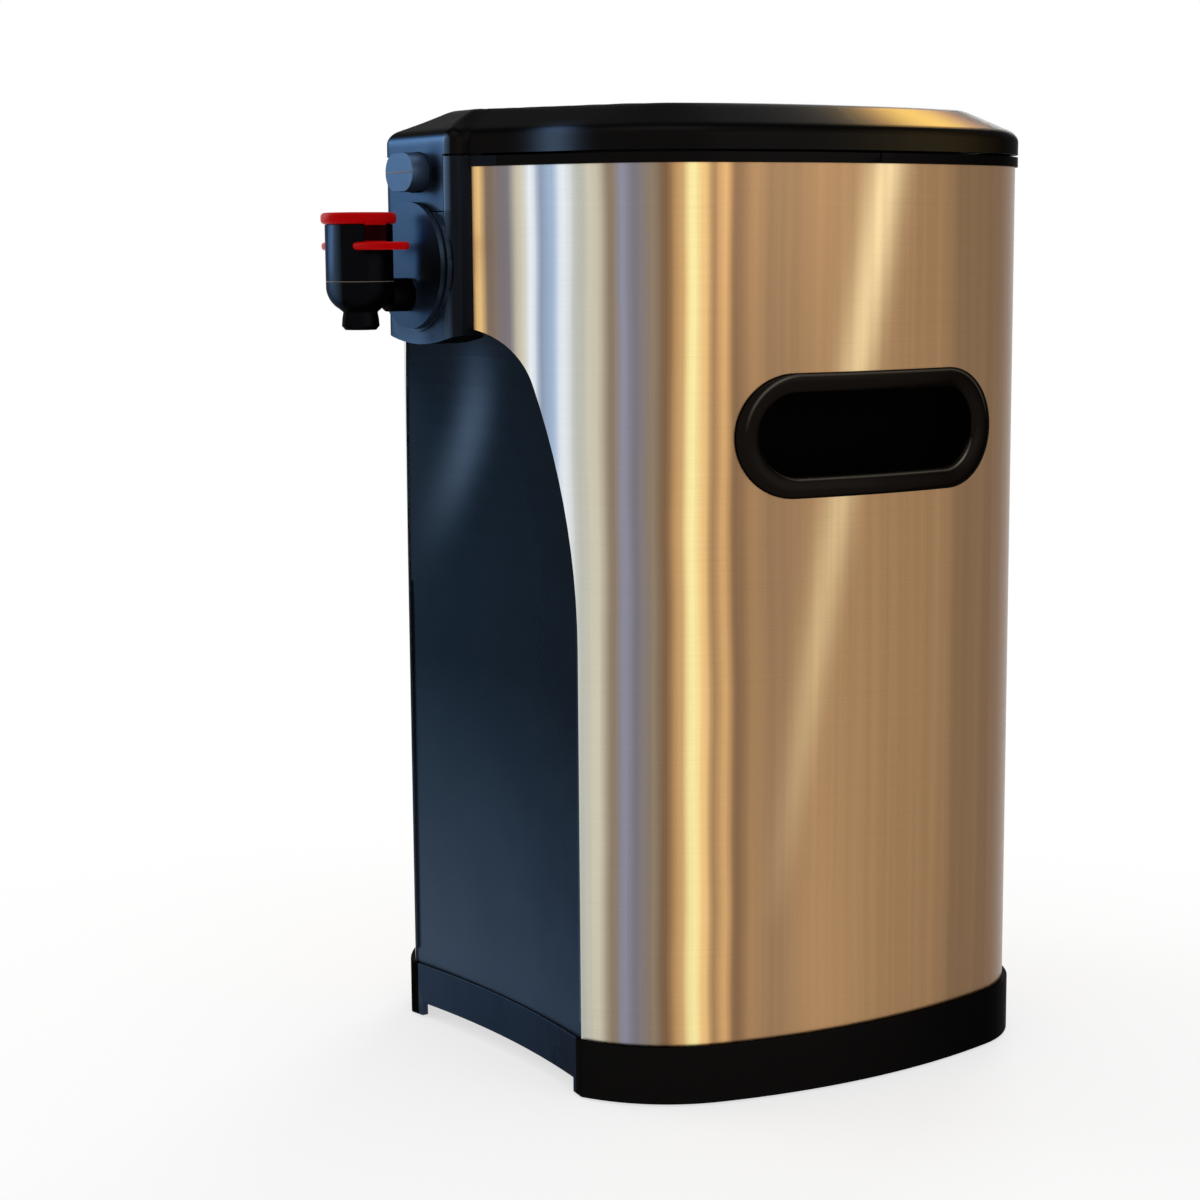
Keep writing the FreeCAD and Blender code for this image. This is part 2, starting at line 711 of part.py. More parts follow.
def make_base():
    """The skirt, its floor, the lip that locates the steel, and four bosses for the feet."""
    proud = dim("skirt_proud")
    body = new_body("base")
    plan = new_sketch(body, "plan", "XY_Plane", dim("skirt_foot"))
    draw_outline(plan, proud)
    pad(body, "block", plan, BASE_TOP - dim("skirt_foot"))
    lip = new_sketch(body, "lip_plan", "XY_Plane", BASE_TOP)
    draw_outline(lip, -dim("steel_thick") - dim("fit_gap"))
    pad(body, "lip", lip, dim("base_lip"))
    under = new_sketch(body, "under_plan", "XY_Plane", dim("base_floor_low"))
    draw_outline(under, proud - dim("skirt_wall"))
    pocket(body, "hollow_below", under, 40.0)
    above = new_sketch(body, "above_plan", "XY_Plane", dim("base_floor_top"))
    draw_outline(above, -dim("steel_thick") - dim("fit_gap") - dim("skirt_wall"))
    pocket(body, "hollow_above", above, 40.0, reverse=True)
    DOC.recompute()

    # The front between the horns is hollowed to the scoop's shallow arc, with its own wall behind.
    ahead = -DIMENSIONS["skirt_front_proud"]
    room = DIMENSIONS["panel_thick"] + 1.2
    front = cut("base", body, [scoop_block("base_front", ahead, dim("skirt_foot") - OVER, 60.0),
                               scoop_block("base_lip_front", room, BASE_TOP, 10.0)])
    limit = outline_ring("base_wall_limit", proud, None, dim("skirt_foot"), BASE_TOP - dim("skirt_foot"))
    wall = common("base_wall", scoop_wall("base_front_wall", ahead, dim("skirt_foot"), BASE_TOP), limit)
    bosses = []
    holes = []
    for name, x, y in foot_places():
        bosses.append(cylinder("boss_" + name, "z", dim("foot_radius") + 1.6, (x, y, dim("skirt_foot") + 0.4),
                               dim("base_floor_top") - dim("skirt_foot") - 0.4))
        holes.append(cylinder("seat_" + name, "z", dim("foot_radius") + LOOSE, (x, y, -1.0),
                              dim("foot_height") + OVER))
        holes.append(cylinder("plug_hole_" + name, "z", dim("plug_radius") + LOOSE, (x, y, 0.0),
                              dim("base_floor_top") + OVER))
    for name, x, y in screw_places():
        holes.append(cylinder("screw_hole_" + name, "z", dim("screw_radius") + 0.2, (x, y, 10.0), size(20.0)))
    whole = fuse("base_whole", [front, wall] + bosses)
    arch = box("skirt_arch_cut", (-dim("skirt_arch_half"), dim("skirt_arch_half")), (-30.0, 12.0),
               (-1.0, dim("skirt_foot") + dim("skirt_arch")))
    return keep(cut("base_done", whole, [arch] + holes), "base_skirt")


def foot_places():
    """Name, x and y of the four feet."""
    sides = (("left", -dim("foot_half_width")), ("right", dim("foot_half_width")))
    rows = (("front", dim("foot_front")), ("back", dim("foot_back")))
    return [(row + "_" + side, x, y) for side, x in sides for row, y in rows]


def screw_places():
    """Name, x and y of the four screws that hold the bag chamber down on the base."""
    sides = (("left", -dim("screw_half_width")), ("right", dim("screw_half_width")))
    rows = (("front", dim("screw_front")), ("back", dim("screw_back")))
    return [(row + "_" + side, x, y) for side, x in sides for row, y in rows]


def scoop_arc_radius():
    """The radius of the shallow arc between the horns, from its width and its depth."""
    half = DIMENSIONS["scoop_half_width"]
    deep = DIMENSIONS["scoop_depth"]
    return (half * half + deep * deep) / (2.0 * deep)


def scoop_block(name, shift, z_low, height):
    """What the scoop's shallow arc takes off the front: the round of a large cylinder ahead of it."""
    radius = scoop_arc_radius()
    centre = DIMENSIONS["scoop_depth"] + shift - radius
    disc = cylinder(name, "z", radius, (0.0, centre, z_low), height)
    reach = dim("scoop_half_width") + 6.0
    limit = box(name + "_limit", (-reach, reach), (-60.0, 30.0), (z_low, size(z_low) + height))
    return common(name, disc, limit)


def scoop_wall(name, ahead, z_low, z_high):
    """A wall of the skirt's thickness that follows the shallow arc between the horns."""
    outer = scoop_block(name + "_outer", ahead + DIMENSIONS["skirt_wall"], z_low, size(z_high) - z_low)
    inner = scoop_block(name + "_inner", ahead, size(z_low) - OVER, size(z_high) - z_low + OVER * 2.0)
    return cut(name, outer, [inner])


def make_feet():
    """Four rubber feet in seats under the base, each with a plug in its boss."""
    feet = []
    for name, x, y in foot_places():
        disc = cylinder("foot_disc_" + name, "z", dim("foot_radius"), (x, y, 0.0), dim("foot_height"))
        plug = cylinder("foot_plug_" + name, "z", dim("plug_radius"), (x, y, 0.5), size(9.5))
        feet.append(fuse("foot_" + name, [disc, plug]))
    keep(group("feet", feet), "rubber_feet")


def screw(name, axis, spot, length, radius=None, head_above=False):
    """A screw whose shank starts at spot and runs along an axis, with its head before or beyond it."""
    radius = dim("screw_radius") if radius is None else radius
    shank = cylinder(name + "_shank", axis, radius, spot, length)
    place = "xyz".index(axis)
    head_spot = [size(value) for value in spot]
    head_spot[place] = head_spot[place] + length if head_above else head_spot[place] - dim("screw_head")
    head_radius = dim("screw_head_radius") if radius.value > 1.5 else radius * 1.8
    head = cylinder(name + "_head", axis, head_radius, tuple(head_spot), dim("screw_head"))
    return fuse(name, [shank, head])


def make_base_screws():
    """Four screws from below, through the base's floor into the bag chamber's floor bosses."""
    screws = []
    for name, x, y in screw_places():
        screws.append(screw("base_screw_" + name, "z", (x, y, dim("base_floor_low")), dim("screw_length")))
    keep(group("base_screws", screws), "base_screws")


# Steel wrap and scoop panel


def make_steel():
    """The brushed sheet, bent round from one horn to the other, with a slot for each handle."""
    body = new_body("steel")
    plan = new_sketch(body, "plan", "XY_Plane", BASE_TOP)
    draw_outline(plan)
    draw_outline(plan, -dim("steel_thick"))
    pad(body, "sheet", plan, dim("steel_height"))
    front = new_sketch(body, "front_view", "XZ_Plane", -30.0)
    draw_scoop_opening(front, BASE_TOP - 2.0, dim("column_half_width") + dim("fit_gap"), STEEL_TOP + 2.0)
    pocket(body, "front_opening", front, 80.0, reverse=True)
    side = new_sketch(body, "side_view", "YZ_Plane")
    draw_stadium(side, dim("handle_at"), dim("handle_height"),
                 dim("grip_length") + dim("cup_wall") * 2 + 1.0, dim("grip_width") + dim("cup_wall") * 2 + 1.0)
    pocket(body, "handle_slots", side, 260.0, middle=True)
    return keep(body, "steel_wrap")


def panel_depth(z):
    """Where the panel's middle lies at a height: upright at first, then an ellipse that leans forward."""
    value = DIMENSIONS
    start = value["scoop_spring_line"] + 22.0
    if z <= start:
        return value["scoop_depth"]
    lean = value["scoop_depth"] + value["column_face"] - 6.5
    rise = (z - start) / (value["column_foot_middle"] + 4.0 - start)
    return value["scoop_depth"] - lean * (1.0 - math.sqrt(max(1.0 - rise * rise, 0.0)))


def panel_point(across, z):
    """A point on the panel's face: across runs from -1 to 1 between the cut edges of the steel."""
    half = scoop_half_width(z) - DIMENSIONS["panel_gap"]
    edge = PLAN.front_y(half, -DIMENSIONS["steel_thick"] - DIMENSIONS["fit_gap"])
    middle = max(panel_depth(z), edge)
    lifted = max((z - DIMENSIONS["scoop_spring_line"]) / 100.0, 0.0)
    power = 2.0 + 2.0 * lifted
    return Vector(half * across, edge + (middle - edge) * (1.0 - abs(across) ** power), z)


def panel_section(z):
    """One level section of the panel: its face, its back and the two short ends between them."""
    columns = (-1.0, -0.92, -0.75, -0.5, -0.25, 0.0, 0.25, 0.5, 0.75, 0.92, 1.0)
    face = [panel_point(across, z) for across in columns]
    back = [point + Vector(0, DIMENSIONS["panel_thick"], 0) for point in face]
    face_curve = Part.BSplineCurve()
    face_curve.interpolate(face)
    back_curve = Part.BSplineCurve()
    back_curve.interpolate(back[::-1])
    ends = (Part.LineSegment(face[-1], back[-1]), Part.LineSegment(back[0], face[0]))
    return Part.Wire([face_curve.toShape(), ends[0].toShape(), back_curve.toShape(), ends[1].toShape()])


def make_panel():
    """The moulded scoop behind the glass, through level sections, and a flange behind the steel."""
    low = DIMENSIONS["base_top"]
    top = DIMENSIONS["scoop_top"] - 1.2
    spring = DIMENSIONS["scoop_spring_line"]
    rows = [low] + [spring + (top - spring) * math.sin(math.radians(step * 6.0)) for step in range(16)]
    shell = DOC.addObject("Part::Feature", "panel_shell")
    shell.Shape = Part.makeLoft([panel_section(z) for z in rows], True, True)
    shell.Placement = Placement(Vector(0, -SHIFT.value, 0), Rotation())
    behind = -dim("steel_thick") - dim("fit_gap")
    ring = outline_ring("panel_flange_ring", behind, behind - dim("panel_thick"), BASE_TOP + 6.0, 150.0)
    strips = []
    for side in (-1, 1):
        half = DIMENSIONS["scoop_half_width"]
        edges = sorted((side * (half - 1.5), side * (half + 8.0)))
        strips.append(box("panel_flange_%d" % (side + 1), edges, (-5.0, 12.0), (BASE_TOP + 6.0, BASE_TOP + 156.0)))
    flanges = [common("panel_flange_part_%d" % number, ring, strip) for number, strip in enumerate(strips)]
    gap = dim("panel_gap")
    housing = new_body("panel_housing")
    view = new_sketch(housing, "front_view", "XZ_Plane", 40.0)
    draw_column_front(view, dim("column_half_width") + gap, dim("column_foot_side") - gap,
                      dim("column_foot_middle") - gap, STEEL_TOP)
    pad(housing, "block", view, 40.0 - dim("column_back") + gap, reverse=True)
    return keep(cut("panel_done", fuse("panel", [shell] + flanges), [housing]), "front_scoop_panel")


# Column, collar and bag chamber


def collar_section(name):
    """The collar all the way round: its deck, its rim on the steel's edge and its lip inside the steel."""
    body = new_body(name)
    deck = new_sketch(body, "deck_plan", "XY_Plane", DECK_LOW)
    draw_outline(deck, dim("collar_proud"))
    draw_round_box(deck, dim("liner_half_width") - dim("liner_wall"),
                   (dim("liner_front") + dim("liner_wall"), dim("liner_back") - dim("liner_wall")),
                   dim("liner_corner") - dim("liner_wall"))
    pad(body, "deck", deck, dim("deck_thick"))
    behind = -dim("steel_thick") - dim("fit_gap")
    rim = new_sketch(body, "rim_plan", "XY_Plane", STEEL_TOP)
    draw_outline(rim, dim("collar_proud"))
    draw_outline(rim, behind - dim("lip_thick"))
    pad(body, "rim", rim, DECK_LOW - STEEL_TOP)
    lip = new_sketch(body, "lip_plan", "XY_Plane", STEEL_TOP - dim("lip_drop"))
    draw_outline(lip, behind)
    draw_outline(lip, behind - dim("lip_thick"))
    pad(body, "lip", lip, dim("lip_drop"))
    return body


def make_collar():
    """The collar, open at the front where the column's own wings take its place."""
    gap = dim("wing_half_width") + dim("fit_gap")
    front = box("collar_front_gap", (-gap, gap), (-40.0, dim("liner_front") + 20.0), (320.0, 360.0))
    mouth = box("collar_seams", (-120.0, 120.0), (dim("handle_at") - 0.25, dim("handle_at") + 0.25),
                (STEEL_TOP - OVER, COLLAR_TOP + OVER))
    seam_limit = outline_ring("collar_seam_limit", dim("collar_proud") + OVER, dim("collar_proud") - 0.5,
                              STEEL_TOP - OVER, 6.0)
    seams = common("collar_seam", mouth, seam_limit)
    holes = []
    for name, x, y in deck_screw_places():
        holes.append(cylinder("deck_hole_" + name, "z", dim("screw_radius") + 0.15, (x, y, 330.0), size(20.0)))
        holes.append(cylinder("deck_seat_" + name, "z", dim("screw_head_radius") + LOOSE,
                              (x, y, COLLAR_TOP - dim("screw_head")), size(6.0)))
    return keep(cut("collar", collar_section("collar_all"), [front, seams] + holes), "collar_ring")


def draw_column_front(sketch, half_width, foot_side, foot_middle, top):
    """The column's front view: straight sides and top, and a foot that hangs in a shallow arc."""
    half, side, middle = half_width.value, foot_side.value, foot_middle.value
    drop = side - middle
    radius = (half * half + drop * drop) / (2.0 * drop)
    spread = math.degrees(math.asin(half / radius))
    pieces = [
        arc_of((0.0, middle + radius), radius, 270 - spread, 270 + spread),
        Part.LineSegment(Vector(half, side, 0), Vector(half, top.value, 0)),
        Part.LineSegment(Vector(half, top.value, 0), Vector(-half, top.value, 0)),
        Part.LineSegment(Vector(-half, top.value, 0), Vector(-half, side, 0)),
    ]
    lines = [sketch.addGeometry(piece) for piece in pieces]
    for first, second in zip(lines, lines[1:] + lines[:1]):
        sketch.addConstraint(Sketcher.Constraint("Coincident", first, 2, second, 1))
    hold_point(sketch, lines[0], 1, -half_width, foot_side)
    hold_point(sketch, lines[0], 2, half_width, foot_side)
    hold_point(sketch, lines[2], 1, half_width, top)
    hold_point(sketch, lines[2], 2, -half_width, top)
    hold(sketch, "Radius", (lines[0],), radius)


def round_upright_edges(body, name, radius, x, y):
    """Rounds the body's upright edges that stand at plus and minus x on the plane y."""
    DOC.recompute()
    names = []
    for number, edge in enumerate(body.Shape.Edges, start=1):
        box_of_edge = edge.BoundBox
        upright = box_of_edge.ZLength > 20.0 and box_of_edge.XLength < 0.01 and box_of_edge.YLength < 0.01
        here = abs(abs(box_of_edge.XMin) - x) < 0.05 and abs(box_of_edge.YMin - y) < 0.05
        if upright and here:
            names.append("Edge%d" % number)
    if not names:
        raise RuntimeError("no upright edges found on %s" % body.Name)
    rounded = body.Tip
    fillet = body.newObject("PartDesign::Fillet", "%s_%s" % (body.Name, name))
    fillet.Base = (rounded, names)
    bind(fillet, "Radius", radius)
    DOC.recompute()
    return fillet


def make_column():
    """The spout housing: a hollow column, open to the chamber, with a keyhole slot for the spout."""
    half = dim("column_half_width")
    face = -dim("column_face")
    body = new_body("column")
    front = new_sketch(body, "front_view", "XZ_Plane", dim("column_face"))
    draw_column_front(front, half, dim("column_foot_side"), dim("column_foot_middle"), COLLAR_TOP)
    pad(body, "block", front, dim("column_face") - dim("column_back"), reverse=True)
    round_upright_edges(body, "edge_round", dim("column_round"), half.value, face.value - SHIFT.value)
    boss = new_sketch(body, "boss_view", "XZ_Plane", dim("column_face") - 0.5)
    draw_circle(boss, 0, dim("spout_height"), dim("boss_radius"))
    pad(body, "boss", boss, dim("boss_proud") + 0.5)
    hollow = new_sketch(body, "hollow_view", "XZ_Plane", dim("column_face") - dim("column_wall"))
    inside = half - dim("column_wall")
    draw_rectangle(hollow, (-inside, inside), (dim("column_foot_side") + 2.0, COLLAR_TOP + 5.0))
    pocket(body, "hollow", hollow, 40.0)
    slot = new_sketch(body, "slot_view", "XZ_Plane", dim("column_face") + 10.0)
    wide = dim("tongue_half_width") + dim("tongue_gap")
    neck = dim("gland_radius") + 0.4
    foot = dim("tongue_foot") - dim("tongue_gap")
    draw_rectangle(slot, (-wide, wide), (foot, COLLAR_TOP + 5.0))
    pocket(body, "tongue_slot", slot, 40.0)
    keyhole = new_sketch(body, "keyhole_view", "XZ_Plane", dim("column_face") + 10.0)
    draw_rectangle(keyhole, (-neck, neck), (dim("spout_height"), foot + OVER))
    pocket(body, "keyhole_slot", keyhole, 40.0)
    bore = new_sketch(body, "bore_view", "XZ_Plane", dim("column_face") + 10.0)
    draw_circle(bore, 0, dim("spout_height"), neck)
    pocket(body, "keyhole_round", bore, 40.0)
    DOC.recompute()

    # Wings: the collar's front part on each side, and flanges that sit behind the steel.
    behind = -dim("steel_thick") - dim("fit_gap")
    wing = dim("wing_half_width")
    flange_ring = outline_ring("column_flange_ring", behind, behind - dim("column_wall"),
                               dim("scoop_top") + 3.0, DECK_LOW - dim("scoop_top") - 3.0)
    pieces = [body]
    for side in (-1, 1):
        inner = dim("column_half_width") - 2.0
        span = (inner, wing) if side > 0 else (-wing, -inner)
        top = box("wing_limit_%d" % (side + 1), span, (-40.0, dim("liner_front") + dim("liner_wall")),
                  (STEEL_TOP - 8.0, COLLAR_TOP))
        low = box("flange_limit_%d" % (side + 1), span, (-40.0, 10.0), (dim("scoop_top") + 3.0, DECK_LOW))
        pieces.append(common("wing_%d" % (side + 1), collar_section("collar_wing_%d" % (side + 1)), top))
        pieces.append(common("flange_%d" % (side + 1), flange_ring, low))
    whole = fuse("column_whole", pieces)
    channel = box("neck_channel", (-wide, wide), (face + dim("column_wall"), dim("liner_front") + 4.0),
                  (dim("column_foot_side") + 2.0, COLLAR_TOP + 5.0))
    strikes = []
    for side in (-1, 1):
        edges = (dim("strike_inner"), dim("strike_outer"))
        span = edges if side > 0 else (-edges[1], -edges[0])
        strikes.append(box("strike_%d" % (side + 1), span, (face + dim("column_wall") - 0.2,
                       face + dim("column_wall") + 2.2), (foot - 4.0, foot - 0.4)))
    holes = []
    for name, x, y in deck_screw_places():
        holes.append(cylinder("column_hole_" + name, "z", dim("screw_radius") + 0.15, (x, y, 330.0), size(20.0)))
        holes.append(cylinder("column_seat_" + name, "z", dim("screw_head_radius") + LOOSE,
                              (x, y, COLLAR_TOP - dim("screw_head")), size(6.0)))
    done = cut("column_done", whole, [channel] + holes)
    return keep(fuse("column_with_strikes", [done] + strikes), "spout_column")


def deck_screw_places():
    """Name, x and y of the six screws that hold the collar and the column's wings on the chamber."""
    spots = []
    for side, sign in (("left", -1), ("right", 1)):
        spots.append(("front_" + side, size(29.0) * sign, size(8.6)))
        spots.append(("middle_" + side, size(80.6) * sign, size(56.0)))
        spots.append(("back_" + side, size(80.6) * sign, size(144.0)))
    return spots


def make_deck_screws():
    """Six screws, their heads sunk in the deck, down into bosses on the chamber's outside."""
    screws = []
    for name, x, y in deck_screw_places():
        start = COLLAR_TOP - dim("screw_head") - dim("screw_length")
        screws.append(screw("deck_screw_" + name, "z", (x, y, start), dim("screw_length"), head_above=True))
    keep(group("deck_screws", screws), "deck_screws")


def make_liner():
    """The bag chamber: an open-topped box with slots for the platform's arms and a mouth for the spout."""
    body = new_body("liner")
    plan = new_sketch(body, "plan", "XY_Plane", dim("base_floor_top"))
    draw_round_box(plan, dim("liner_half_width"), (dim("liner_front"), dim("liner_back")), dim("liner_corner"))
    pad(body, "block", plan, DECK_LOW - dim("base_floor_top"))
    inside = new_sketch(body, "inside_plan", "XY_Plane", dim("base_floor_top") + dim("liner_floor"))
    draw_round_box(inside, dim("liner_half_width") - dim("liner_wall"),
                   (dim("liner_front") + dim("liner_wall"), dim("liner_back") - dim("liner_wall")),
                   dim("liner_corner") - dim("liner_wall"))
    pocket(body, "hollow", inside, 400.0, reverse=True)
    mouth = new_sketch(body, "mouth_view", "XZ_Plane", 0.0)
    draw_rectangle(mouth, (-dim("neck_half_width"), dim("neck_half_width")),
                   (dim("column_foot_side") + 2.0, DECK_LOW + 5.0))
    pocket(body, "mouth", mouth, 30.0)
    slots = new_sketch(body, "slot_view", "YZ_Plane")
    draw_rectangle(slots, (dim("spring_at") - dim("slot_half_width"), dim("spring_at") + dim("slot_half_width")),
                   (dim("slot_low"), dim("slot_high")))
    pocket(body, "arm_slots", slots, 200.0, middle=True)
    window = new_sketch(body, "window_view", "XZ_Plane", -dim("liner_back") - 5.0)
    half = dim("catch_half_width") + 0.6
    draw_rectangle(window, (-half, half), (size(24.5), size(50.0)))
    pocket(body, "catch_window", window, 20.0, reverse=True)
    DOC.recompute()
    bosses = []
    holes = []
    for name, x, y in screw_places():
        bosses.append(cylinder("liner_boss_" + name, "z", dim("screw_radius") + 2.0,
                               (x, y, dim("base_floor_top") + 1.0), size(6.0)))
        holes.append(cylinder("liner_hole_" + name, "z", dim("screw_radius") + 0.05,
                              (x, y, dim("base_floor_top") - 1.0), dim("screw_length") - 2.0))
    for name, x, y in deck_screw_places():
        bosses.append(cylinder("deck_boss_" + name, "z", dim("screw_radius") + 1.9, (x, y, DECK_LOW - 12.0),
                               size(12.0)))
        holes.append(cylinder("deck_bore_" + name, "z", dim("screw_radius") + 0.05, (x, y, DECK_LOW - 10.0),
                              size(20.0)))
    for name, side, y, z in bracket_screw_places():
        start = (dim("liner_half_width") - 4.0) if side > 0 else (-dim("liner_half_width") - 4.0)
        holes.append(cylinder("bracket_bore_" + name, "x", dim("small_screw_radius") + 0.05,
                              (start, y, z), size(8.0)))
    whole = fuse("liner_whole", [body] + bosses)
    return keep(cut("liner_done", whole, holes), "chamber_liner")


# Side handles


def stadium_prism(name, length, width, x_low, x_high):
    """A slot-shaped block through the side of the body, at the handle's place."""
    body = new_body(name)
    sketch = new_sketch(body, "view", "YZ_Plane", x_low)
    draw_stadium(sketch, dim("handle_at"), dim("handle_height"), length, width)
    pad(body, "block", sketch, size(x_high) - x_low)
    return body


def side_span(side, low, high):
    """A span along X on the left (-1) or the right (1) side."""
    return (size(low), size(high)) if side > 0 else (-size(high), -size(low))


def make_handle(side, word):
    """A bezel outside the steel and a hand pocket inside it, which meet through the slot."""
    low = dim("handle_height") - 30.0
    wide = side_span(side, 70.0, 125.0)
    deep = side_span(side, dim("grip_floor"), 130.0)
    wall = side_span(side, dim("grip_floor") - dim("cup_wall"), 125.0)

    outside = outline_ring("bezel_skin_" + word, dim("bezel_proud"), 0.0, low, size(60.0))
    rim = common("bezel_block_" + word, outside,
                 stadium_prism("bezel_prism_" + word, dim("bezel_length"), dim("bezel_width"), *wide))
    opening = stadium_prism("bezel_opening_" + word, dim("grip_length"), dim("grip_width"), *wide)
    keep(cut("bezel_" + word, rim, [opening]), "handle_bezel_" + word)

    solid_plan = outline_ring("cup_plan_" + word, 0.0, None, low, size(60.0))
    outer = dim("cup_wall") * 2
    tube = common("cup_tube_" + word, solid_plan, stadium_prism(
        "cup_prism_" + word, dim("grip_length") + outer, dim("grip_width") + outer, *wall))
    behind = -dim("steel_thick") - dim("fit_gap")
    backing = outline_ring("cup_skin_" + word, behind, behind - dim("cup_wall"), low, size(60.0))
    flange = common("cup_flange_" + word, backing, stadium_prism(
        "cup_flange_prism_" + word, dim("bezel_length"), dim("bezel_width"), *wide))
    hollow = stadium_prism("cup_hollow_" + word, dim("grip_length"), dim("grip_width"), *deep)
    keep(cut("cup_" + word, fuse("cup_whole_" + word, [tube, flange]), [hollow]), "handle_cup_" + word)


def make_handles():
    """Both side handles."""
    make_handle(-1, "left")
    make_handle(1, "right")


# Platform, its guides and its constant-force springs


def make_platform():
    """The tray that presses the bag upwards, with an arm through each side slot, and its soft pad."""
    gap = dim("liner_wall") + dim("platform_gap")
    body = new_body("platform")
    plan = new_sketch(body, "plan", "XY_Plane", dim("platform_low") - 3.0)
    span = (dim("liner_front") + gap, dim("liner_back") - gap)
    draw_round_box(plan, dim("liner_half_width") - gap, span, dim("liner_corner") - gap)
    pad(body, "block", plan, dim("platform_thick") + 3.0)
    under = new_sketch(body, "under_plan", "XY_Plane", dim("platform_low") + dim("platform_thick") - 2.4)
    inset = gap + 2.2
    draw_round_box(under, dim("liner_half_width") - inset, (dim("liner_front") + inset, dim("liner_back") - inset),
                   dim("liner_corner") - inset)
    pocket(body, "hollow", under, 20.0)
    DOC.recompute()
    arms = []
    for side in (-1, 1):
        arms.append(box("arm_%d" % (side + 1), side_span(side, 66.0, dim("strip_x") - 0.1), arm_span(),
                        (dim("platform_low") - 2.6, dim("platform_low") + dim("platform_thick"))))
    keep(fuse("platform_whole", [body] + arms), "lift_platform")

    mat = new_body("mat")
    plan = new_sketch(mat, "plan", "XY_Plane", dim("platform_low") + dim("platform_thick"))
    inset = gap + 5.0
    draw_round_box(plan, dim("liner_half_width") - inset, (dim("liner_front") + inset, dim("liner_back") - inset),
                   dim("liner_corner") - inset)
    pad(mat, "block", plan, dim("pad_thick"))
    keep(mat, "platform_pad")


def arm_span():
    """The platform arm's span from front to back."""
    return (dim("spring_at") - dim("arm_half_width"), dim("spring_at") + dim("arm_half_width"))


def make_lift_side(side, word):
    """One side's shoe, strip clip, guide rails, bracket, pin, spool, coil and strip."""
    at = dim("spring_at")
    arm_low = dim("platform_low") - 2.6
    arm_top = dim("platform_low") + dim("platform_thick")
    wall = dim("liner_half_width")
    strip_out = dim("strip_x") + dim("strip_thick")

    shoe = box("shoe_" + word, side_span(side, wall - 2.6, dim("strip_x") - 0.4),
               (at - dim("slot_half_width") + 0.25, at + dim("slot_half_width") - 0.25),
               (arm_low - 1.4, arm_top + 4.0))
    arm_hole = box("shoe_hole_" + word, side_span(side, 60.0, 90.0), arm_span(), (arm_low, arm_top))
    keep(cut("shoe_done_" + word, shoe, [arm_hole]), "guide_shoe_" + word)

    clip = box("clip_" + word, side_span(side, dim("strip_x") - 0.1, strip_out + 1.3), arm_span(),
               (arm_low + 0.2, arm_top - 0.4))
    strip_slot = box("clip_slot_" + word, side_span(side, dim("strip_x") - 0.2, strip_out + LOOSE),
                     (at - dim("coil_width") * 0.5 - LOOSE, at + dim("coil_width") * 0.5 + LOOSE),
                     (arm_low - OVER, arm_top))
    keep(cut("clip_done_" + word, clip, [strip_slot]), "strip_clip_" + word)

    rails = []
    for number, edge in enumerate((-11.8, 8.2)):
        rails.append(box("rail_%s_%d" % (word, number), side_span(side, wall, wall + 1.5),
                         (at + edge, at + edge + 3.6), (dim("slot_low") + 1.0, dim("slot_high") + 2.0)))
    keep(group("rails_" + word, rails), "guide_rails_" + word)

    half = dim("bracket_half_width")
    thick = dim("bracket_thick")
    pieces = [box("bracket_plate_" + word, side_span(side, wall, wall + thick), (at - half, at + half),
                  (dim("bracket_low"), dim("bracket_high")))]
    for number, edge in enumerate((-half + 1.6, half - 1.6 - thick)):
        pieces.append(box("bracket_ear_%s_%d" % (word, number), side_span(side, wall + thick - 0.2, dim("coil_x") + 6.0),
                          (at + edge, at + edge + thick), (dim("coil_height") - 8.0, dim("coil_height") + 8.0)))
    centre = dim("coil_x") * side
    holes = [cylinder("bracket_pin_hole_" + word, "y", dim("pin_radius") + 0.04, (centre, at - 20.0,
             dim("coil_height")), size(40.0))]
    for name, screw_side, y, z in bracket_screw_places():
        if screw_side == side:
            holes.append(cylinder("bracket_screw_hole_" + name, "x", dim("small_screw_radius") + LOOSE,
                                  (side_span(side, wall - OVER, wall + 5.0)[0], y, z), size(6.0)))
    keep(cut("bracket_done_" + word, fuse("bracket_" + word, pieces), holes), "spring_bracket_" + word)

    keep(cylinder("pin_" + word, "y", dim("pin_radius"), (centre, at - half - 0.6, dim("coil_height")),
                  half * 2 + 1.2), "spool_pin_" + word)
    hub_half = dim("coil_width") * 0.5 + 1.2
    hub = cylinder("hub_" + word, "y", dim("hub_radius"), (centre, at - hub_half, dim("coil_height")), hub_half * 2)
    hub_bore = cylinder("hub_bore_" + word, "y", dim("pin_radius") + 0.08, (centre, at - 20.0, dim("coil_height")),
                        size(40.0))
    keep(cut("hub_done_" + word, hub, [hub_bore]), "spool_hub_" + word)
    coil = cylinder("coil_" + word, "y", dim("coil_radius"), (centre, at - dim("coil_width") * 0.5,
                    dim("coil_height")), dim("coil_width"))
    coil_bore = cylinder("coil_bore_" + word, "y", dim("hub_radius") + 0.03, (centre, at - 20.0, dim("coil_height")),
                         size(40.0))
    keep(cut("coil_done_" + word, coil, [coil_bore]), "spring_coil_" + word)
    keep(box("strip_" + word, side_span(side, dim("strip_x"), strip_out),
             (at - dim("coil_width") * 0.5, at + dim("coil_width") * 0.5), (arm_low + 0.4, dim("coil_height"))),
         "spring_strip_" + word)


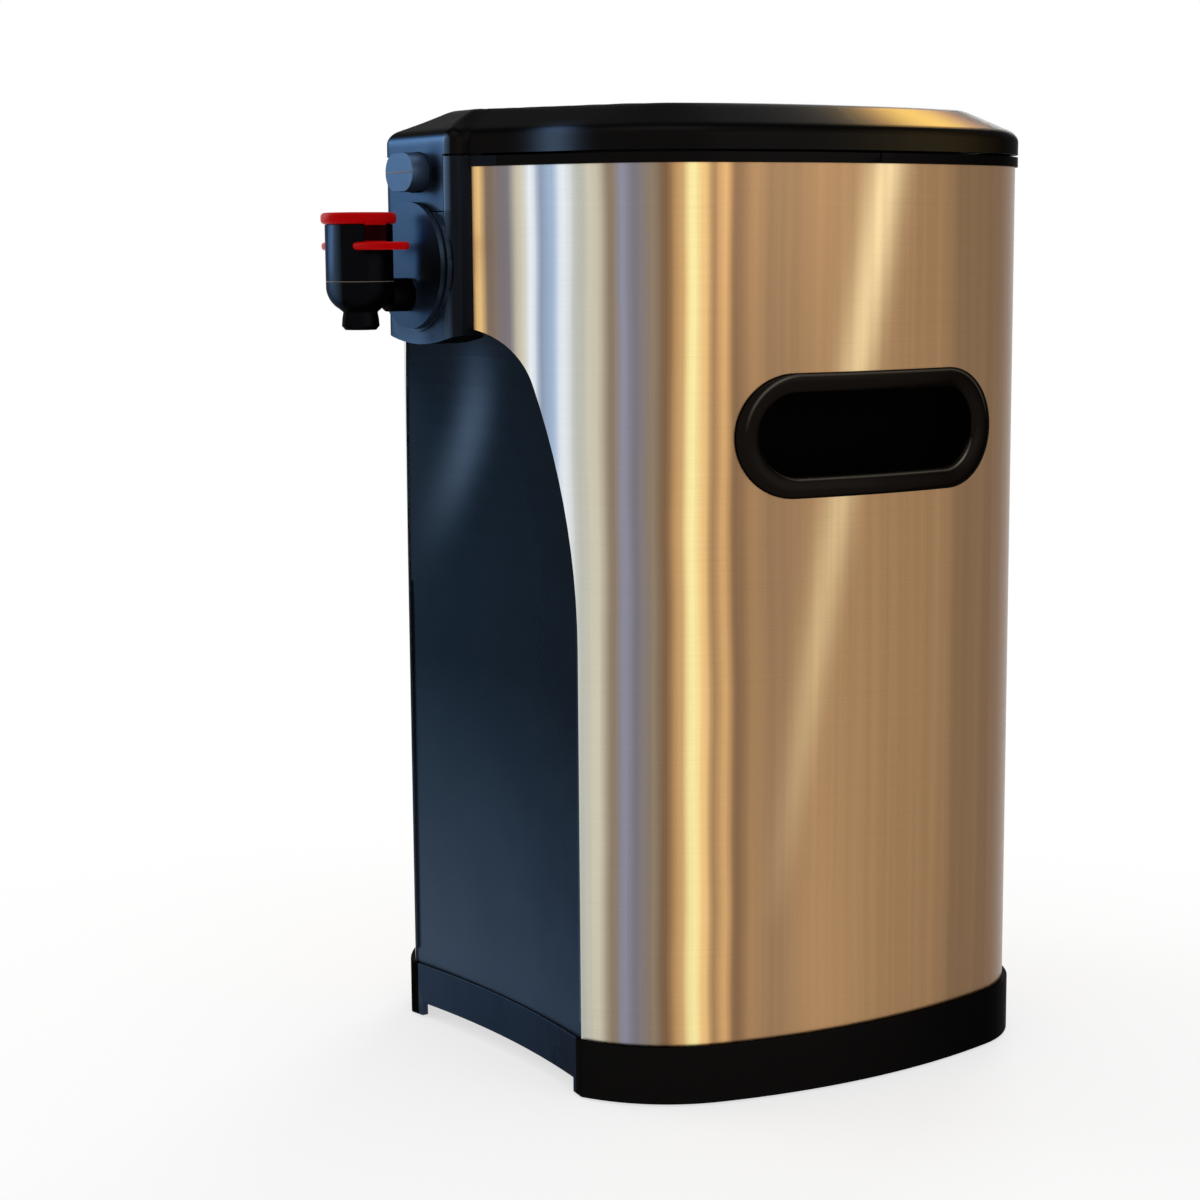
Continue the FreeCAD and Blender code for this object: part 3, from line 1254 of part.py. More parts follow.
def make_lift_sides():
    """The lifting gear on both sides, and the screws of its brackets."""
    make_lift_side(-1, "left")
    make_lift_side(1, "right")
    screws = []
    for name, side, y, z in bracket_screw_places():
        outer = dim("liner_half_width") + dim("bracket_thick")
        length = size(2.6)
        start = (outer - length) if side > 0 else -outer
        screws.append(screw("bracket_screw_" + name, "x", (start, y, z), length, dim("small_screw_radius"),
                            head_above=side > 0))
    keep(group("bracket_screws", screws), "bracket_screws")


def bracket_screw_places():
    """Name, side, y and z of the two screws of each spring bracket."""
    spots = []
    for word, side in (("left", -1), ("right", 1)):
        for row, shift in (("front", -6.0), ("back", 6.0)):
            spots.append((row + "_" + word, side, dim("spring_at") + shift, dim("bracket_high") - 4.0))
    return spots


def make_catch():
    """The push catch behind the chamber: two ears, a pin and a lever whose tooth goes over the platform."""
    half = dim("catch_half_width")
    pivot_y, pivot_z = dim("catch_pivot_y"), dim("catch_pivot_z")
    ears = []
    for side in (-1, 1):
        ear = box("catch_ear_%d" % (side + 1), side_span(side, half + 1.2, half + 3.2),
                  (dim("liner_back"), pivot_y + 3.5), (pivot_z - 6.0, pivot_z + 6.0))
        hole = cylinder("catch_ear_hole_%d" % (side + 1), "x", dim("catch_pin_radius") + 0.03,
                        (-20.0, pivot_y, pivot_z), size(40.0))
        ears.append(cut("catch_ear_done_%d" % (side + 1), ear, [hole]))
    keep(group("catch_ears", ears), "catch_ears")
    keep(cylinder("catch_pin_rod", "x", dim("catch_pin_radius"), (-half - 3.8, pivot_y, pivot_z), half * 2 + 7.6),
         "catch_pin")
    lever = box("catch_lever", (-half, half), (pivot_y - 1.9, pivot_y + 1.9), (pivot_z - 17.0, pivot_z + 4.0))
    boss = cylinder("catch_boss", "x", size(3.0), (-half, pivot_y, pivot_z), half * 2)
    tooth = box("catch_tooth", (-half, half), (pivot_y - 4.9, pivot_y), (pivot_z - 17.0, pivot_z - 13.6))
    bore = cylinder("catch_bore", "x", dim("catch_pin_radius") + 0.06, (-20.0, pivot_y, pivot_z), size(40.0))
    keep(cut("catch_done", fuse("catch_whole", [lever, boss, tooth]), [bore]), "platform_catch")


# Lid and its latch


def add_loft(body, name, low_sketch, high_sketch, kind):
    """A straight loft between two outlines, added or taken away."""
    feature = body.newObject("PartDesign::" + kind, "%s_%s" % (body.Name, name))
    feature.Profile = low_sketch
    feature.Sections = [high_sketch]
    feature.Ruled = True
    return feature


def draw_profile(sketch, corners):
    """A closed outline: each corner is (x, y), or (x, y, radius) where an arc leaves it to the next one.

    A positive radius bends to the left of the way on, a negative one to the right."""
    spots = [(size(c[0]), size(c[1])) for c in corners]
    count = len(corners)
    ends = []
    for i, corner in enumerate(corners):
        a = Vector(spots[i][0].value, spots[i][1].value, 0)
        b = Vector(spots[(i + 1) % count][0].value, spots[(i + 1) % count][1].value, 0)
        if len(corner) == 2:
            ends.append((sketch.addGeometry(Part.LineSegment(a, b)), 1, 2))
            continue
        radius = size(corner[2])
        turn_left = radius.value > 0
        chord = b - a
        side = Vector(-chord.y, chord.x, 0).normalize() * (1.0 if turn_left else -1.0)
        centre = (a + b) * 0.5 + side * math.sqrt(radius.value ** 2 - chord.Length ** 2 / 4.0)
        first, last = (a, b) if turn_left else (b, a)
        start = math.degrees(math.atan2(first.y - centre.y, first.x - centre.x))
        stop = math.degrees(math.atan2(last.y - centre.y, last.x - centre.x))
        arc = sketch.addGeometry(arc_of(centre, abs(radius.value), start, stop if stop > start else stop + 360))
        ends.append((arc, 1, 2) if turn_left else (arc, 2, 1))
        hold(sketch, "Radius", (arc,), radius if turn_left else -radius)
    for i in range(count):
        line, _, end = ends[i]
        following, start, _ = ends[(i + 1) % count]
        sketch.addConstraint(Sketcher.Constraint("Coincident", line, end, following, start))
    for (line, start, _), (x, y) in zip(ends, spots):
        hold_point(sketch, line, start, x, y)


def make_lid():
    """The lid's shell with its sloping shoulder, the hipped bump over the column and the tongue below it."""
    proud = dim("collar_proud")
    wall = dim("lid_wall")
    slope = dim("lid_slope_width")
    body = new_body("lid")
    rim = new_sketch(body, "rim_plan", "XY_Plane", LID_LOW)
    draw_outline(rim, proud)
    pad(body, "rim", rim, dim("lid_rim"))
    low = new_sketch(body, "shoulder_plan", "XY_Plane", LID_SHOULDER)
    draw_outline(low, proud)
    high = new_sketch(body, "top_plan", "XY_Plane", LID_TOP)
    draw_outline(high, proud - slope)
    add_loft(body, "shoulder", low, high, "AdditiveLoft")
    inner_rim = new_sketch(body, "inner_rim_plan", "XY_Plane", LID_SHOULDER - 1.2)
    draw_outline(inner_rim, proud - wall)
    pocket(body, "rim_hollow", inner_rim, 30.0)
    inner_low = new_sketch(body, "inner_shoulder_plan", "XY_Plane", LID_SHOULDER - 1.3)
    draw_outline(inner_low, proud - wall)
    inner_high = new_sketch(body, "inner_top_plan", "XY_Plane", LID_TOP - wall)
    draw_outline(inner_high, proud - wall - slope)
    add_loft(body, "shoulder_hollow", inner_low, inner_high, "SubtractiveLoft")
    DOC.recompute()

    face = -dim("column_face")
    half = dim("column_half_width")
    corner = dim("column_round")
    walls_back = face + dim("bump_wall_depth")
    walls = new_body("bump_walls")
    plan = new_sketch(walls, "plan", "XY_Plane", LID_LOW)
    draw_round_box(plan, half, (face, walls_back), corner)
    pad(walls, "block", plan, dim("lid_rim"))
    inner = new_sketch(walls, "inner_plan", "XY_Plane", LID_LOW)
    draw_round_box(inner, half - wall, (face + wall, walls_back + corner), corner - wall)
    pocket(walls, "hollow", inner, dim("lid_rim"), reverse=True)
    hip = new_body("bump_hip")
    hip_back = face + dim("hip_depth")
    eaves = new_sketch(hip, "eaves_plan", "XY_Plane", LID_SHOULDER)
    draw_round_box(eaves, half, (face, hip_back), corner)
    ridge = new_sketch(hip, "ridge_plan", "XY_Plane", LID_TOP)
    draw_round_box(ridge, half - slope, (face + slope, hip_back), dim("hip_round"))
    add_loft(hip, "roof", eaves, ridge, "AdditiveLoft")
    DOC.recompute()
    pieces = [body, walls, hip]
    tongue_half = dim("tongue_half_width")
    pieces.append(box("tongue", (-tongue_half, tongue_half), (face, face + dim("column_wall") - 0.4),
                      (dim("tongue_foot"), LID_SHOULDER - 2.0)))
    for number, (x, y) in enumerate(lid_screw_places()):
        foot = dim("plug_low") + dim("plug_floor")
        pieces.append(cylinder("lid_boss_%d" % number, "z", size(3.6), (x, y, foot), dim("lid_boss_top") - foot))
    whole = fuse("lid_whole", pieces)
    hole_body = button_prism("button_hole", 0.3, dim("column_face") + 5.0, size(12.0))
    bores = [hole_body]
    for number, (x, y) in enumerate(lid_screw_places()):
        bores.append(cylinder("lid_bore_%d" % number, "z", dim("screw_radius") + 0.05, (x, y, dim("plug_low")),
                              dim("screw_length") + 0.4))
    return keep(cut("lid_done", whole, bores), "lid_shell")


def lid_screw_places():
    """x and y of the four screws that hold the closing plate in the lid."""
    return [(dim("lid_screw_half_width") * sign, dim(row)) for sign in (-1, 1)
            for row in ("lid_screw_front", "lid_screw_back")]


def button_prism(name, grow, front, length):
    """The release button's oval section, grown by grow, from a plane towards the back."""
    body = new_body(name)
    view = new_sketch(body, "view", "XZ_Plane", front)
    draw_stadium(view, 0, dim("button_height"), dim("button_half_length") * 2 + 2 * grow,
                 dim("button_half_height") * 2 + 2 * grow)
    pad(body, "block", view, length, reverse=True)
    return body


def make_lid_inside():
    """The plate that closes the lid, with a plug that fills the chamber's mouth, its seal and screws."""
    wall = dim("liner_wall")
    body = new_body("plug")
    plan = new_sketch(body, "plate_plan", "XY_Plane", dim("plate_low"))
    draw_outline(plan, dim("collar_proud") - dim("lid_wall") - 0.2)
    pad(body, "plate", plan, dim("plate_thick"))
    inset = wall + 1.6
    plug = new_sketch(body, "plug_plan", "XY_Plane", dim("plug_low"))
    draw_round_box(plug, dim("liner_half_width") - inset, (dim("liner_front") + inset, dim("liner_back") - inset),
                   dim("liner_corner") - inset)
    pad(body, "plug", plug, dim("plate_low") - dim("plug_low") + 0.5)
    deep = inset + 2.0
    hollow = new_sketch(body, "hollow_plan", "XY_Plane", dim("plug_low") + dim("plug_floor"))
    draw_round_box(hollow, dim("liner_half_width") - deep, (dim("liner_front") + deep, dim("liner_back") - deep),
                   dim("liner_corner") - deep)
    pocket(body, "hollow", hollow, 40.0, reverse=True)
    DOC.recompute()
    holes = []
    for number, (x, y) in enumerate(lid_screw_places()):
        holes.append(cylinder("plate_hole_%d" % number, "z", dim("screw_radius") + 0.15, (x, y, 330.0), size(40.0)))
    reach = dim("column_half_width") + 0.4
    notch = box("plate_notch", (-reach, reach), (-40.0, -15.0), (dim("plate_low") - OVER, dim("plate_low") + 10.0))
    keep(cut("plug_done", body, [notch] + holes), "lid_plug")

    seal = new_body("seal")
    plan = new_sketch(seal, "plan", "XY_Plane", COLLAR_TOP)
    for inset in (-3.4, 1.3):
        draw_round_box(plan, dim("liner_half_width") - inset, (dim("liner_front") + inset, dim("liner_back") - inset),
                       dim("liner_corner") - inset)
    pad(seal, "ring", plan, dim("plate_low") - COLLAR_TOP)
    keep(seal, "lid_seal")

    screws = []
    for number, (x, y) in enumerate(lid_screw_places()):
        screws.append(screw("lid_screw_%d" % number, "z", (x, y, dim("plug_low")), dim("screw_length")))
    keep(group("lid_screws", screws), "lid_screws")


def make_latch():
    """The release button, the hook behind it, its return spring and the guide the spring stands on."""
    face = -dim("column_face")
    knob = button_prism("button_knob", 0.0, dim("column_face") + dim("button_proud"), dim("button_proud") + 2.8)
    back = box("button_back", (-12.5, 12.5), (face + 2.8, face + 4.8), (327.5, 341.0))
    keep(fuse("button_whole", [knob, back]), "release_button")
    bar = box("hook_bar", (-18.5, 18.5), (face + 4.8, face + 7.6), (328.0, 334.5))
    prongs = []
    for side in (-1, 1):
        prongs.append(box("hook_prong_%d" % (side + 1), side_span(side, 14.6, 18.5), (face + 5.6, face + 7.6),
                          (315.6, 330.0)))
    keep(fuse("hook_whole", [bar] + prongs), "latch_hook")
    keep(box("guide_plate", (-16.0, 16.0), (face + 16.1, face + 18.1), (325.0, dim("plate_low"))), "latch_guide")
    wire = 0.4
    make_coil("latch_spring", 2.8, wire, 5.0, Vector(0, face.value + 7.7 + wire, 331.2), Vector(0, 8.3 - 2 * wire, 0))


# Tap


def tap_sketch(body, name, role, offset=0.0):
    """A sketch on an upright plane whose own upright axis is the barrel's axis."""
    sketch = new_sketch(body, name, role, offset)
    bind(sketch, "AttachmentOffset.Base.x", -dim("tap_axis"))
    return sketch


def make_tap_body():
    """The tap's barrel with its dome and nozzle, its side pipe, its round plate and the spigot behind."""
    body = new_body("tap")
    side = tap_sketch(body, "section", "YZ_Plane")
    barrel, bore = dim("barrel_radius"), dim("barrel_bore")
    nozzle, foot, neck = dim("nozzle_radius"), dim("nozzle_foot"), dim("neck_radius")
    draw_profile(side, [
        (0, foot), (nozzle - 1.2, foot), (nozzle, foot + 1.4), (nozzle - 0.2, foot + 4.0),
        (neck, dim("neck_height")), (neck + 1.4, dim("neck_height") + 1.2, size(9.6)),
        (barrel, dim("dome_start") + 1.0), (barrel, dim("rim_foot") - 0.2),
        (barrel - 0.8, dim("rim_foot")), (barrel - 0.8, dim("barrel_top")), (bore, dim("barrel_top")),
        (bore, dim("barrel_floor")), (0, dim("barrel_floor"))])
    turned = body.newObject("PartDesign::Revolution", "tap_turned")
    turned.Profile = side
    turned.ReferenceAxis = (side, ["V_Axis"])
    turned.Angle = 360.0
    DOC.recompute()
    pipe = new_sketch(body, "pipe_view", "XZ_Plane", dim("tap_axis") - bore - 1.2)
    draw_circle(pipe, 0, dim("pipe_height"), dim("pipe_radius"))
    pad(body, "pipe", pipe, dim("tap_axis") - bore - 1.2 - dim("disc_face") + OVER, reverse=True)
    plate = new_sketch(body, "plate_view", "XZ_Plane", dim("disc_face"))
    draw_circle(plate, 0, dim("spout_height"), dim("disc_radius"))
    plate_thick = dim("disc_face") - dim("column_face") - dim("boss_proud")
    pad(body, "plate", plate, plate_thick, reverse=True)
    spigot = new_sketch(body, "spigot_view", "XZ_Plane", dim("disc_face") - plate_thick)
    draw_circle(spigot, 0, dim("spout_height"), dim("gland_tail_radius") - 1.2)
    pad(body, "spigot", spigot, size(17.0), reverse=True)
    hollow = new_sketch(body, "spigot_hollow", "XZ_Plane", dim("disc_face") - 1.2)
    draw_circle(hollow, 0, dim("spout_height"), dim("gland_tail_radius") - 2.8)
    pocket(body, "spigot_bore", hollow, 30.0)
    way = new_sketch(body, "pipe_way", "XZ_Plane", dim("tap_axis") - 2.0)
    draw_circle(way, 0, dim("pipe_height"), dim("pipe_bore"))
    pocket(body, "pipe_bore", way, dim("tap_axis") - 2.0 - dim("disc_face") + OVER)
    link = new_sketch(body, "link_view", "XZ_Plane", dim("disc_face") - OVER)
    draw_rectangle(link, (-3.0, 3.0), (dim("pipe_height") - 2.0, dim("spout_height")))
    pocket(body, "link", link, plate_thick - 1.5)
    seat = new_sketch(body, "nozzle_plan", "XY_Plane", dim("valve_seat"))
    draw_circle(seat, 0, -dim("tap_axis"), dim("nozzle_bore") + LOOSE)
    pocket(body, "nozzle_bore", seat, 30.0)
    throat = new_sketch(body, "throat_plan", "XY_Plane", dim("valve_seat") - OVER)
    draw_circle(throat, 0, -dim("tap_axis"), dim("nozzle_bore") - 1.1)
    pocket(body, "throat", throat, 20.0, reverse=True)
    keep(body, "tap_body")


def rounded_rims(name, base, radius):
    """A flat piece with its level edges rounded."""
    DOC.recompute()
    level = 0.01
    smooth = DOC.addObject("Part::Fillet", name)
    smooth.Base = base
    smooth.Edges = [(number, DIMENSIONS[radius], DIMENSIONS[radius])
                    for number, edge in enumerate(base.Shape.Edges, start=1) if edge.BoundBox.ZLength < level]
    return smooth


def make_rim():
    """The ring round the barrel's top, with both of its outer edges rounded."""
    axis = -dim("tap_axis")
    height = dim("rim_top") - dim("rim_foot")
    ring = cylinder("rim_disc", "z", dim("rim_radius"), (0.0, axis, dim("rim_foot")), height)
    return rounded_rims("rim", ring, "rim_round")


def make_wings():
    """The two finger wings: one flat ellipse behind the barrel's middle, with its edges rounded."""
    plate = DOC.addObject("Part::Feature", "wing_plate")
    ellipse = Part.Ellipse(Vector(0, 0, 0), DIMENSIONS["wing_reach"], DIMENSIONS["wing_depth"])
    plate.Shape = Part.Face(Part.Wire([ellipse.toShape()])).extrude(Vector(0, 0, DIMENSIONS["wing_thick"]))
    middle = size(-dim("tap_axis")) + dim("wing_back") - SHIFT
    plate.Placement = Placement(Vector(0, middle.value, DIMENSIONS["wing_height"] - DIMENSIONS["wing_thick"] / 2.0),
                                Rotation())
    return rounded_rims("wings", plate, "wing_round")


def make_tap_handle():
    """The grip that is pressed against: a rim round the barrel's top, two curved legs and the finger wings."""
    axis = -dim("tap_axis")
    legs = []
    for side in (-1, 1):
        bar = box("leg_bar_%d" % (side + 1), side_span(side, dim("barrel_radius") * 0.5, dim("rim_radius")),
                  (axis - dim("leg_half_width"), axis + dim("leg_half_width")),
                  (dim("wing_height"), dim("rim_foot") + dim("rim_round")))
        skin = cylinder("leg_skin_%d" % (side + 1), "z", dim("barrel_radius") + dim("leg_thick"),
                        (0.0, axis, dim("wing_height")), dim("rim_top") - dim("wing_height"))
        legs.append(common("leg_%d" % (side + 1), bar, skin))
    whole = fuse("handle_whole", [make_rim(), make_wings()] + legs)
    foot = dim("wing_height") - dim("wing_thick")
    clear = cylinder("handle_clear", "z", dim("barrel_radius") + dim("handle_gap"), (0.0, axis, foot),
                     dim("barrel_top") - foot)
    lip = cylinder("handle_lip", "z", dim("rim_lip_radius"), (0.0, axis, foot), dim("rim_top") * 2.0 - foot * 2.0)
    keep(cut("handle_done", whole, [clear, lip], refine=False), "tap_handle")


def make_tap_inside():
    """The press button, the stem and the seal that it pushes down, and the spring that lifts them."""
    axis = -dim("tap_axis")
    under = dim("barrel_floor") + 11.6
    top = dim("rim_top") - 1.2
    button = cylinder("press_button", "z", dim("barrel_bore") - 0.32, (0.0, axis, under), top - under)
    keep(button, "tap_button")
    seal_top = dim("valve_seat") - 0.1
    keep(cylinder("stem", "z", dim("stem_radius"), (0.0, axis, seal_top), under - seal_top), "valve_stem")
    seal = cylinder("seal_disc", "z", dim("nozzle_bore") - 0.25, (0.0, axis, seal_top - 3.2), size(3.2))
    keep(seal, "valve_seal")
    wire = 0.5
    start = Vector(0, axis.value, DIMENSIONS["barrel_floor"] + 0.1 + wire)
    make_coil("tap_spring", 6.0, wire, 5.0, start, Vector(0, 0, 11.4 - 2 * wire))
    neck = cylinder("gland_neck", "y", dim("gland_radius"), (0.0, -dim("column_face") - dim("boss_proud"),
                    dim("spout_height")), dim("boss_proud") + dim("column_wall") + OVER)
    flange = cylinder("gland_flange", "y", dim("gland_flange_radius"), (0.0, -dim("column_face") +
                      dim("column_wall") + 0.1, dim("spout_height")), size(2.4))
    tail = cylinder("gland_tail", "y", dim("gland_tail_radius"), (0.0, -dim("column_face") + dim("column_wall"),
                    dim("spout_height")), dim("column_face") - dim("column_wall") - dim("gland_back"))
    inside = dim("gland_tail_radius") - 1.15
    bore = cylinder("gland_bore", "y", inside, (0.0, -60.0, dim("spout_height")), size(80.0))
    keep(cut("gland_done", fuse("gland_whole", [neck, flange, tail]), [bore]), "spout_gland")


SECTIONS = [
    make_base, make_feet, make_base_screws, make_steel, make_panel, make_collar, make_column, make_deck_screws,
    make_liner, make_handles, make_platform, make_lift_sides, make_catch, make_lid, make_lid_inside, make_latch,
    make_tap_body, make_tap_handle, make_tap_inside,
]


def check_and_write():
    """Stops on any failed object or bad shape, then writes one file for each sub-part."""
    DOC.recompute()
    for thing in DOC.Objects:
        if "Invalid" in thing.State or "Error" in thing.State:
            raise RuntimeError("%s (%s) failed" % (thing.Name, thing.Label))
    for thing in SUBPARTS:
        if thing.Shape.isNull() or not thing.Shape.isValid():
            raise RuntimeError("%s has no valid shape" % thing.Label)
    os.makedirs("parts", exist_ok=True)
    for thing in SUBPARTS:
        thing.Shape.exportStep(os.path.join("parts", thing.Label + ".step"))


for section in SECTIONS:
    section()
check_and_write()
for thing in SUBPARTS:
    bounds = thing.Shape.BoundBox
    print("%-24s solids %d volume %.0f" % (thing.Label, len(thing.Shape.Solids), thing.Shape.Volume),
          [round(v, 1) for v in (bounds.XMin, bounds.YMin, bounds.ZMin, bounds.XMax, bounds.YMax, bounds.ZMax)])
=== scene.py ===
"""Looks of a free-standing wine dispenser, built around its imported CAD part."""

import math

import bmesh
import bpy
import numpy as np
from bpy.props import FloatProperty, FloatVectorProperty, PointerProperty
from mathutils import Matrix, Vector


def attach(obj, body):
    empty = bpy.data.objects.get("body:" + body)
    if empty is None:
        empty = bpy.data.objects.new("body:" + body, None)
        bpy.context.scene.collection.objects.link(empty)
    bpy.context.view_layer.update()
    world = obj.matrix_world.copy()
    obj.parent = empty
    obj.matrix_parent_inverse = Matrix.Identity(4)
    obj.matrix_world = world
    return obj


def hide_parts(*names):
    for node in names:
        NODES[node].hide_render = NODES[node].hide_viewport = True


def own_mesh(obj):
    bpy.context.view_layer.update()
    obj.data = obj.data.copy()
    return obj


bl_info = {
    "name": "Wine Dispenser",
    "version": (1, 0, 0),
    "blender": (4, 5, 0),
    "location": "3D View > Sidebar > Dispenser",
    "description": "Shell, tap, finishes and studio of a bag wine dispenser",
    "category": "Add Mesh",
}

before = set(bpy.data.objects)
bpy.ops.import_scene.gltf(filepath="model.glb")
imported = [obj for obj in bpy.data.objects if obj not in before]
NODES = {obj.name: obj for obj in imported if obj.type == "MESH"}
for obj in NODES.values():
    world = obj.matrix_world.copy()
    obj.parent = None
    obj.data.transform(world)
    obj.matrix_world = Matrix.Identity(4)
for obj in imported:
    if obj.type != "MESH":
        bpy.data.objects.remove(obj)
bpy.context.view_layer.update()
MM = 0.001
DRAWING_SHIFT = 66.15
FINISHES = {}


# Settings


def length(name, description, default):
    """A length in metres that the sidebar shows with its unit."""
    return FloatProperty(
        name=name, description=description, default=default, min=0.0, precision=5, unit="LENGTH"
    )


def colour(name, description, default):
    """A linear colour."""
    return FloatVectorProperty(
        name=name, description=description, default=default, size=3, min=0.0, max=1.0, subtype="COLOR"
    )


def angle(name, description, degrees):
    """An angle that is stated in degrees."""
    return FloatProperty(name=name, description=description, default=math.radians(degrees), subtype="ANGLE")


def strength(name, description, default):
    """A strength from 0 up."""
    return FloatProperty(name=name, description=description, default=default, min=0.0)


class StudioSettings(bpy.types.PropertyGroup):
    """Camera, lamps and floor."""

    camera_place: FloatVectorProperty(
        name="Camera place", description="Where the camera stands", size=3, subtype="XYZ",
        unit="LENGTH", default=(0.7701, -0.53945, 0.3078),
    )
    camera_turn: angle("Camera turn", "Angle of the view from straight ahead, to the right", 55.77)
    camera_dip: angle("Camera dip", "Angle of the view below level", 8.25)
    camera_roll: angle("Camera roll", "Turn about the line of sight", -0.45)
    camera_lens: FloatProperty(
        name="Lens", description="Focal length on a 36 mm sensor", default=72.69, min=1.0, unit="CAMERA"
    )
    floor_reach: length("Floor reach", "Half the side of the floor", 6.0)
    floor_colour: colour("Floor", "Pale floor", (0.94, 0.94, 0.94))
    key_power: strength("Key", "Soft lamp at the left front", 9.0)
    fill_power: strength("Fill", "Large soft lamp at the right", 5.0)
    back_power: strength("Back", "Soft lamp behind the object", 9.0)
    top_power: strength("Top", "Large soft lamp above", 8.0)
    room_level: strength("Room level", "Strength of the even light that comes from all round", 0.55)


class FinishSettings(bpy.types.PropertyGroup):
    """Colours of the finishes, and the scale of their detail."""

    black: colour("Black moulding", "Satin black of the base, collar and lid", (0.0042, 0.0038, 0.0036))
    column: colour("Column black", "Column, its button and the pipe's plate", (0.0060, 0.0072, 0.0100))
    panel: colour("Panel blue-black", "Panel behind the glass", (0.0145, 0.0240, 0.0360))
    # Painted light: the panel's lighter foot and the highlight in its cove.
    panel_painted_light: colour("Panel light", "Tone at the panel's foot and in its cove", (0.120, 0.170, 0.250))
    # Painted light: the lit blue tone of black mouldings where they face the light at the front.
    front: colour("Front blue", "Black mouldings where they face the front", (0.050, 0.078, 0.125))
    # Painted light: the lit blue tone of the tongue, the bump over it, the column and the button.
    upper_painted_light: colour("Upper front blue", "The same on the tongue and column", (0.064, 0.102, 0.166))
    # Painted reflection: a golden highlight on the lid's slope.
    warm_painted_sheen: colour("Warm sheen", "Sheen on the lid's slope over the handle", (0.960, 0.680, 0.250))
    handle_black: colour("Handle black", "Black of the handle frames", (0.0062, 0.0048, 0.0038))
    # The cups' own black, darkened further as painted shade in their recess.
    cup_shaded_black: colour("Cup black", "Deep black of the finger cups", (0.0012, 0.0010, 0.0009))
    tap_black: colour("Tap black", "Barrel and pipe of the tap", (0.0026, 0.0027, 0.0032))
    red: colour("Red moulding", "Handle and button of the tap", (0.40, 0.0014, 0.0022))
    # Painted shade on the legs under the tap handle's rim.
    red_in_shade: colour("Deep red", "Legs of the tap's handle", (0.014, 0.0008, 0.0010))
    # Painted highlights: thin pale lines on the handle frames and on the seam ridges.
    edge: colour("Edge tone", "Painted highlight lines on the handle frames and the seams", (0.115, 0.100, 0.080))
    grey: colour("Grey moulding", "Inner mouldings", (0.30, 0.30, 0.31))
    grain: length("Grain", "Size of the fine grain on the mouldings", 0.0009)
    brush_pitch: length("Brush pitch", "Distance between brush lines on the steel", 0.0006)


class DispenserSettings(bpy.types.PropertyGroup):
    """Everything that the sidebar shows."""

    studio: PointerProperty(type=StudioSettings)
    finish: PointerProperty(type=FinishSettings)


def settings():
    """The values that the sidebar shows."""
    return bpy.context.scene.dispenser


# Shader maths


class Wire:
    """A number, vector or colour socket that can be used in a Python expression."""

    def __init__(self, tree, socket):
        self.tree = tree
        self.socket = socket

    def math(self, operation, *values):
        """Adds a Math node on these values, in order."""
        step = self.tree.nodes.new("ShaderNodeMath")
        step.operation = operation
        for socket, value in zip(step.inputs, values):
            plug(self.tree, socket, value)
        return Wire(self.tree, step.outputs[0])

    def __add__(self, other):
        return self.math("ADD", self, other)

    def __radd__(self, other):
        return self.math("ADD", other, self)

    def __sub__(self, other):
        return self.math("SUBTRACT", self, other)

    def __rsub__(self, other):
        return self.math("SUBTRACT", other, self)

    def __mul__(self, other):
        return self.math("MULTIPLY", self, other)

    def __rmul__(self, other):
        return self.math("MULTIPLY", other, self)

    def __truediv__(self, other):
        return self.math("DIVIDE", self, other)

    def __rtruediv__(self, other):
        return self.math("DIVIDE", other, self)

    def __pow__(self, other):
        return self.math("POWER", self, other)

    def __neg__(self):
        return self.math("MULTIPLY", self, -1.0)

    def __abs__(self):
        return self.math("ABSOLUTE", self)

    def clamp(self):
        """This value kept from 0 to 1."""
        return self.math("MINIMUM", self.math("MAXIMUM", self, 0.0), 1.0)

    def bell(self, middle, width):
        """A bump that is 1 at the middle and fades with the width: e to the minus square of the distance."""
        away = (self - middle) / width
        return self.math("EXPONENT", -(away * away))


def plug(tree, socket, value):
    """Links a wire to a socket, or sets the socket to a plain value."""
    if isinstance(value, Wire):
        tree.links.new(value.socket, socket)
    else:
        socket.default_value = value


